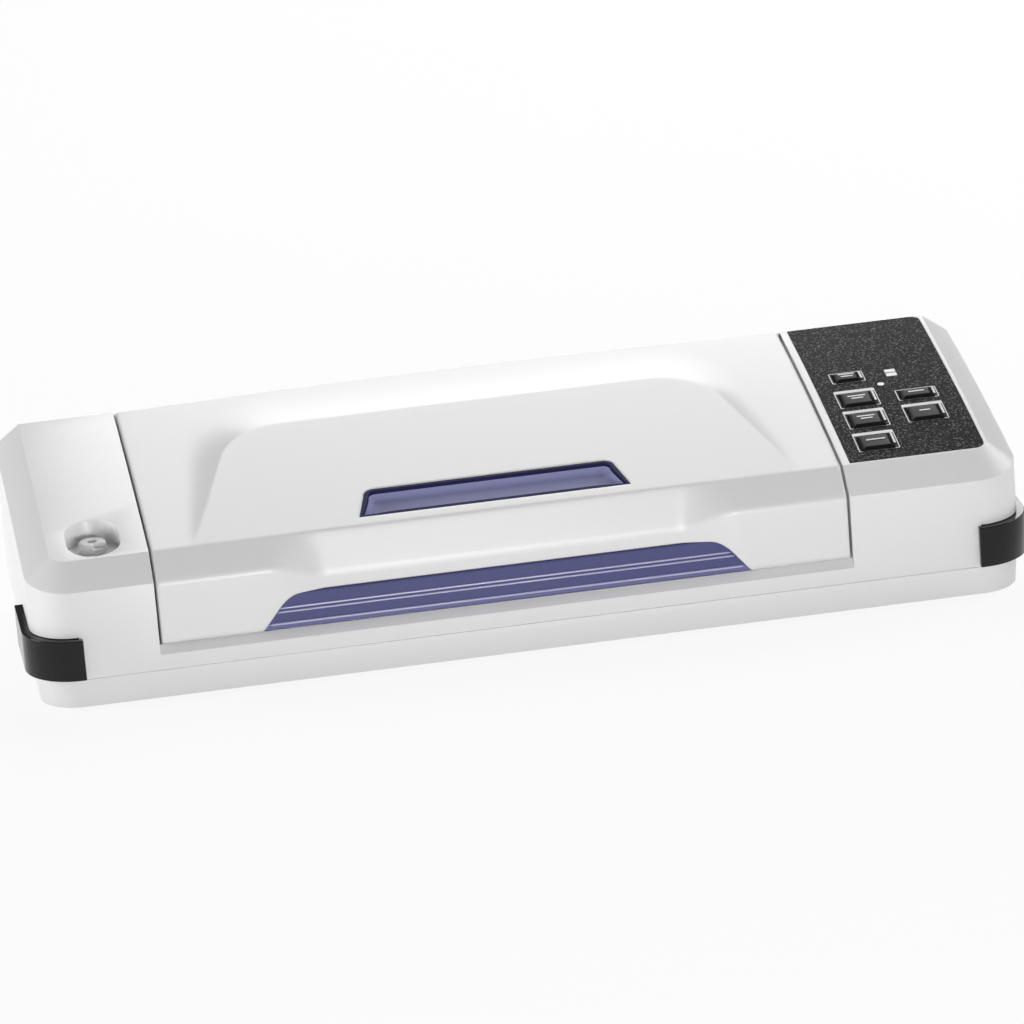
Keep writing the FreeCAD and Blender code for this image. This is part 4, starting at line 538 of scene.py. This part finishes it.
# Key frames: white lines printed round each key on the panel. Behind the tall keys the rear
# line is broadened by a painted highlight, the glint of the key's rear slope, and a bar of
# painted highlight runs along the right of each key.
PANEL_UP, KEY_LIP, NUDGE = 0.3, 1.0, 1e-6
FRAME_LEFT, FRAME_FRONT, FRAME_RIGHT, FRAME_REAR = 1.7, 0.9, 2.3, 0.6
# Painted highlights: the broad rear band behind the tall keys and the bar at each key's right stand for the
# glints of the keys' slopes.
FRAME_LINE, FRAME_R, REAR_GLINT, BAR_GAP, BAR, BAR_START = 0.5, 0.8, 2.8, 0.5, 1.1, 0.3
TALL_KEYS = ("key_vacuum_seal", "key_pulse", "key_canister", "key_seal")


def on_panel(x, y):
    """Points of a print that lies on the panel's curved surface."""
    return np.stack([x, y, top_height(y) + PANEL_UP + PRINT_UP], -1)


def frame_print_and_glint(x0, x1, y0, y1, band):
    """A rounded outline as a flat ring of even width, whose rear side is as broad as the band; a broad rear
    side is a painted highlight.
    """
    turn = np.linspace(0.0, 2 * np.pi, 49) + NUDGE
    right, rear = np.cos(turn) > 0, np.sin(turn) > 0
    outer_x = np.where(right, x1 - FRAME_R, x0 + FRAME_R) + FRAME_R * np.cos(turn)
    outer_y = np.where(rear, y1 - FRAME_R, y0 + FRAME_R) + FRAME_R * np.sin(turn)
    inner_r = FRAME_R - FRAME_LINE
    inner_x = np.where(right, x1 - FRAME_R, x0 + FRAME_R) + inner_r * np.cos(turn)
    inner_y = np.where(rear, y1 - band - inner_r, y0 + FRAME_R) + inner_r * np.sin(turn)
    return np.stack([on_panel(outer_x, outer_y), on_panel(inner_x, inner_y)])


def painted_glint_bar(x0, x1, y0, y1):
    """A narrow bar that runs from front to rear over the panel, a painted highlight along a key's right side.
    """
    y = np.linspace(y0, y1, 9)[:, None] + 0 * np.array((x0, x1))
    return on_panel(np.array((x0, x1)) + 0 * y, y)


for key in KEY_RULES:
    low, high = (np.array(end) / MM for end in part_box(key))
    x0, x1 = low[0] + KEY_LIP, high[0] - KEY_LIP
    y0, y1 = low[1] + KEY_LIP, high[1] - KEY_LIP
    # Painted highlight: behind a tall key the frame's rear side is broadened by the glint of the key's rear
    # slope.
    band = REAR_GLINT if key in TALL_KEYS else FRAME_LINE
    edge_x, edge_y = x1 + FRAME_RIGHT, y1 + FRAME_REAR + band - FRAME_LINE
    outline = frame_print_and_glint(x0 - FRAME_LEFT, edge_x, y0 - FRAME_FRONT, edge_y, band)
    new_piece(key + "_frame", outline, quads(*outline.shape[:2])[..., ::-1], print_and_glint, "casing")
    # Painted highlight: a white bar along the key's right side stands for the glint of its slope.
    bar_x = edge_x - FRAME_LINE - BAR_GAP
    bar = painted_glint_bar(bar_x - BAR, bar_x, y0 + BAR_START * (y1 - y0), y1)
    new_piece(key + "_bar", bar, quads(*bar.shape[:2]), print_and_glint, "casing")

# Lights: small clear light guides that are pressed into the panel from below and end level
# with its film, one round and two flat.
lens = procedural("clear light guide", (0.62, 0.63, 0.62), 0.2, Coat_Weight=0.3)
dress(lens, "power_lens", "moist_lens", "dry_lens")

# Mains inlet in the rear wall: a black socket with three brass blades, snapped into the
# casing from outside.
brass = procedural("brass", (0.75, 0.58, 0.28), 0.3, grain=0.08, Metallic=1.0)
softened("mains_inlet", "casing", dull_black, 0.4)
dress(brass, "inlet_blades")

# Works inside the casing: pump, motor, transformer, circuit board, valve, sensor, switches
# and hoses, fixed to the base pan and under the deck.
board_green = procedural("green board", (0.03, 0.17, 0.08), 0.4)
copper = procedural("varnished winding", (0.40, 0.19, 0.06), 0.4, grain=0.1)
hose = procedural("milky hose", (0.60, 0.60, 0.56), 0.45, grain=0.08)
dress(steel, "pump_motor", "transformer_core", "board_screws")
dress(dull_black, "pump_head", "release_valve", "vacuum_sensor", "lid_switches", "key_switches")
dress(copper, "transformer_coil")
dress(board_green, "control_board")
dress(hose, "chamber_hose", "port_hose")

# Floor: a plain pale paper sheet under the sealer. It looks nearly white to the eye and in
# reflections, and keeps the sealer's soft shadow.
SHEET_HALF, SHEET_WHITE, SHEET_GREY = 6.0, 0.9, 0.88
sheet_corners = [(x * SHEET_HALF, y * SHEET_HALF, 0.0) for x, y in ((-1, -1), (1, -1), (1, 1), (-1, 1))]
floor_mesh = bpy.data.meshes.new("floor")
floor_mesh.from_pydata(sheet_corners, [], [(0, 1, 2, 3)])
floor = bpy.data.objects.new("floor", floor_mesh)
bpy.context.scene.collection.objects.link(floor)
paper = bpy.data.materials.new("pale paper")
paper.use_nodes = True
paper_nodes, paper_links = paper.node_tree.nodes, paper.node_tree.links
paper_nodes.clear()
ray = paper_nodes.new("ShaderNodeLightPath")
seen = paper_nodes.new("ShaderNodeMath")
seen.operation = "MAXIMUM"
paper_links.new(ray.outputs["Is Camera Ray"], seen.inputs[0])
paper_links.new(ray.outputs["Is Glossy Ray"], seen.inputs[1])
whiten = paper_nodes.new("ShaderNodeMath")
whiten.operation = "MULTIPLY"
whiten.inputs[1].default_value = SHEET_WHITE
paper_links.new(seen.outputs[0], whiten.inputs[0])
matt = paper_nodes.new("ShaderNodeBsdfDiffuse")
matt.inputs["Color"].default_value = (SHEET_GREY, SHEET_GREY, SHEET_GREY, 1.0)
shine = paper_nodes.new("ShaderNodeEmission")
shine.inputs["Strength"].default_value = 1.0
blend = paper_nodes.new("ShaderNodeMixShader")
paper_links.new(whiten.outputs[0], blend.inputs["Fac"])
paper_links.new(matt.outputs[0], blend.inputs[1])
paper_links.new(shine.outputs[0], blend.inputs[2])
sheet_out = paper_nodes.new("ShaderNodeOutputMaterial")
paper_links.new(blend.outputs[0], sheet_out.inputs["Surface"])
floor_mesh.materials.append(paper)

# Studio light: an even pale surround and broad soft lamps, each given by its place, size
# and power. The strongest stand at the rear and light the top.
SURROUND = 0.12
LAMPS = {
    "lamp_rear_high": ((0.2, 1.0, 1.3), 1.0, 9.8),
    "lamp_rear_low": ((0.35, 2.0, 0.8), 1.0, 11.0),
    "lamp_right": ((1.3, 0.4, 0.9), 0.8, 9.4),
    "lamp_left": ((-1.5, 0.1, 0.35), 0.6, 12.8),
    "lamp_front": ((0.05, -1.25, 0.16), 0.3, 7.6),
}
LAMP_AIM = Vector((0.0, 0.0, 0.05))
world = bpy.data.worlds.new("studio")
bpy.context.scene.world = world
world.use_nodes = True
world.node_tree.nodes["Background"].inputs["Color"].default_value = (1.0, 1.0, 1.0, 1.0)
world.node_tree.nodes["Background"].inputs["Strength"].default_value = SURROUND


def lamp(name, at, size, power):
    """A square soft light aimed at the middle of the sealer."""
    light = bpy.data.lights.new(name, "AREA")
    light.size = size
    light.energy = power
    piece = bpy.data.objects.new(name, light)
    bpy.context.scene.collection.objects.link(piece)
    piece.location = at
    piece.rotation_euler = (LAMP_AIM - Vector(at)).to_track_quat("-Z", "Y").to_euler()


for name, (at, size, power) in LAMPS.items():
    lamp(name, at, size, power)

# Camera: far off with a long lens, above the front left and a little rolled. It looks at a
# point near the sealer's middle.
SENSOR, FOCAL_SHARE, DISTANCE = 36.0, 6529.5 / 1024, 3.2462
LOOK_AT = Vector((0.00264, 0.0, 0.04711))
YAW, PITCH, ROLL = math.radians(7.527), math.radians(18.983), math.radians(4.606)
ahead = Vector((math.sin(YAW) * math.cos(PITCH), math.cos(YAW) * math.cos(PITCH), -math.sin(PITCH)))
level = Vector((math.cos(YAW), -math.sin(YAW), 0.0))
below = ahead.cross(level)
right = math.cos(ROLL) * level + math.sin(ROLL) * below
down = math.cos(ROLL) * below - math.sin(ROLL) * level
camera_data = bpy.data.cameras.new("camera")
camera_data.sensor_width = SENSOR
camera_data.lens = FOCAL_SHARE * SENSOR
camera_data.clip_end = 50.0
camera = bpy.data.objects.new("camera", camera_data)
bpy.context.scene.collection.objects.link(camera)
turn = Matrix((right, -down, -ahead)).transposed()
place = LOOK_AT - DISTANCE * ahead
camera.matrix_world = Matrix.Translation(place) @ turn.to_4x4()
bpy.context.scene.camera = camera
bpy.context.scene.view_settings.view_transform = "Standard"
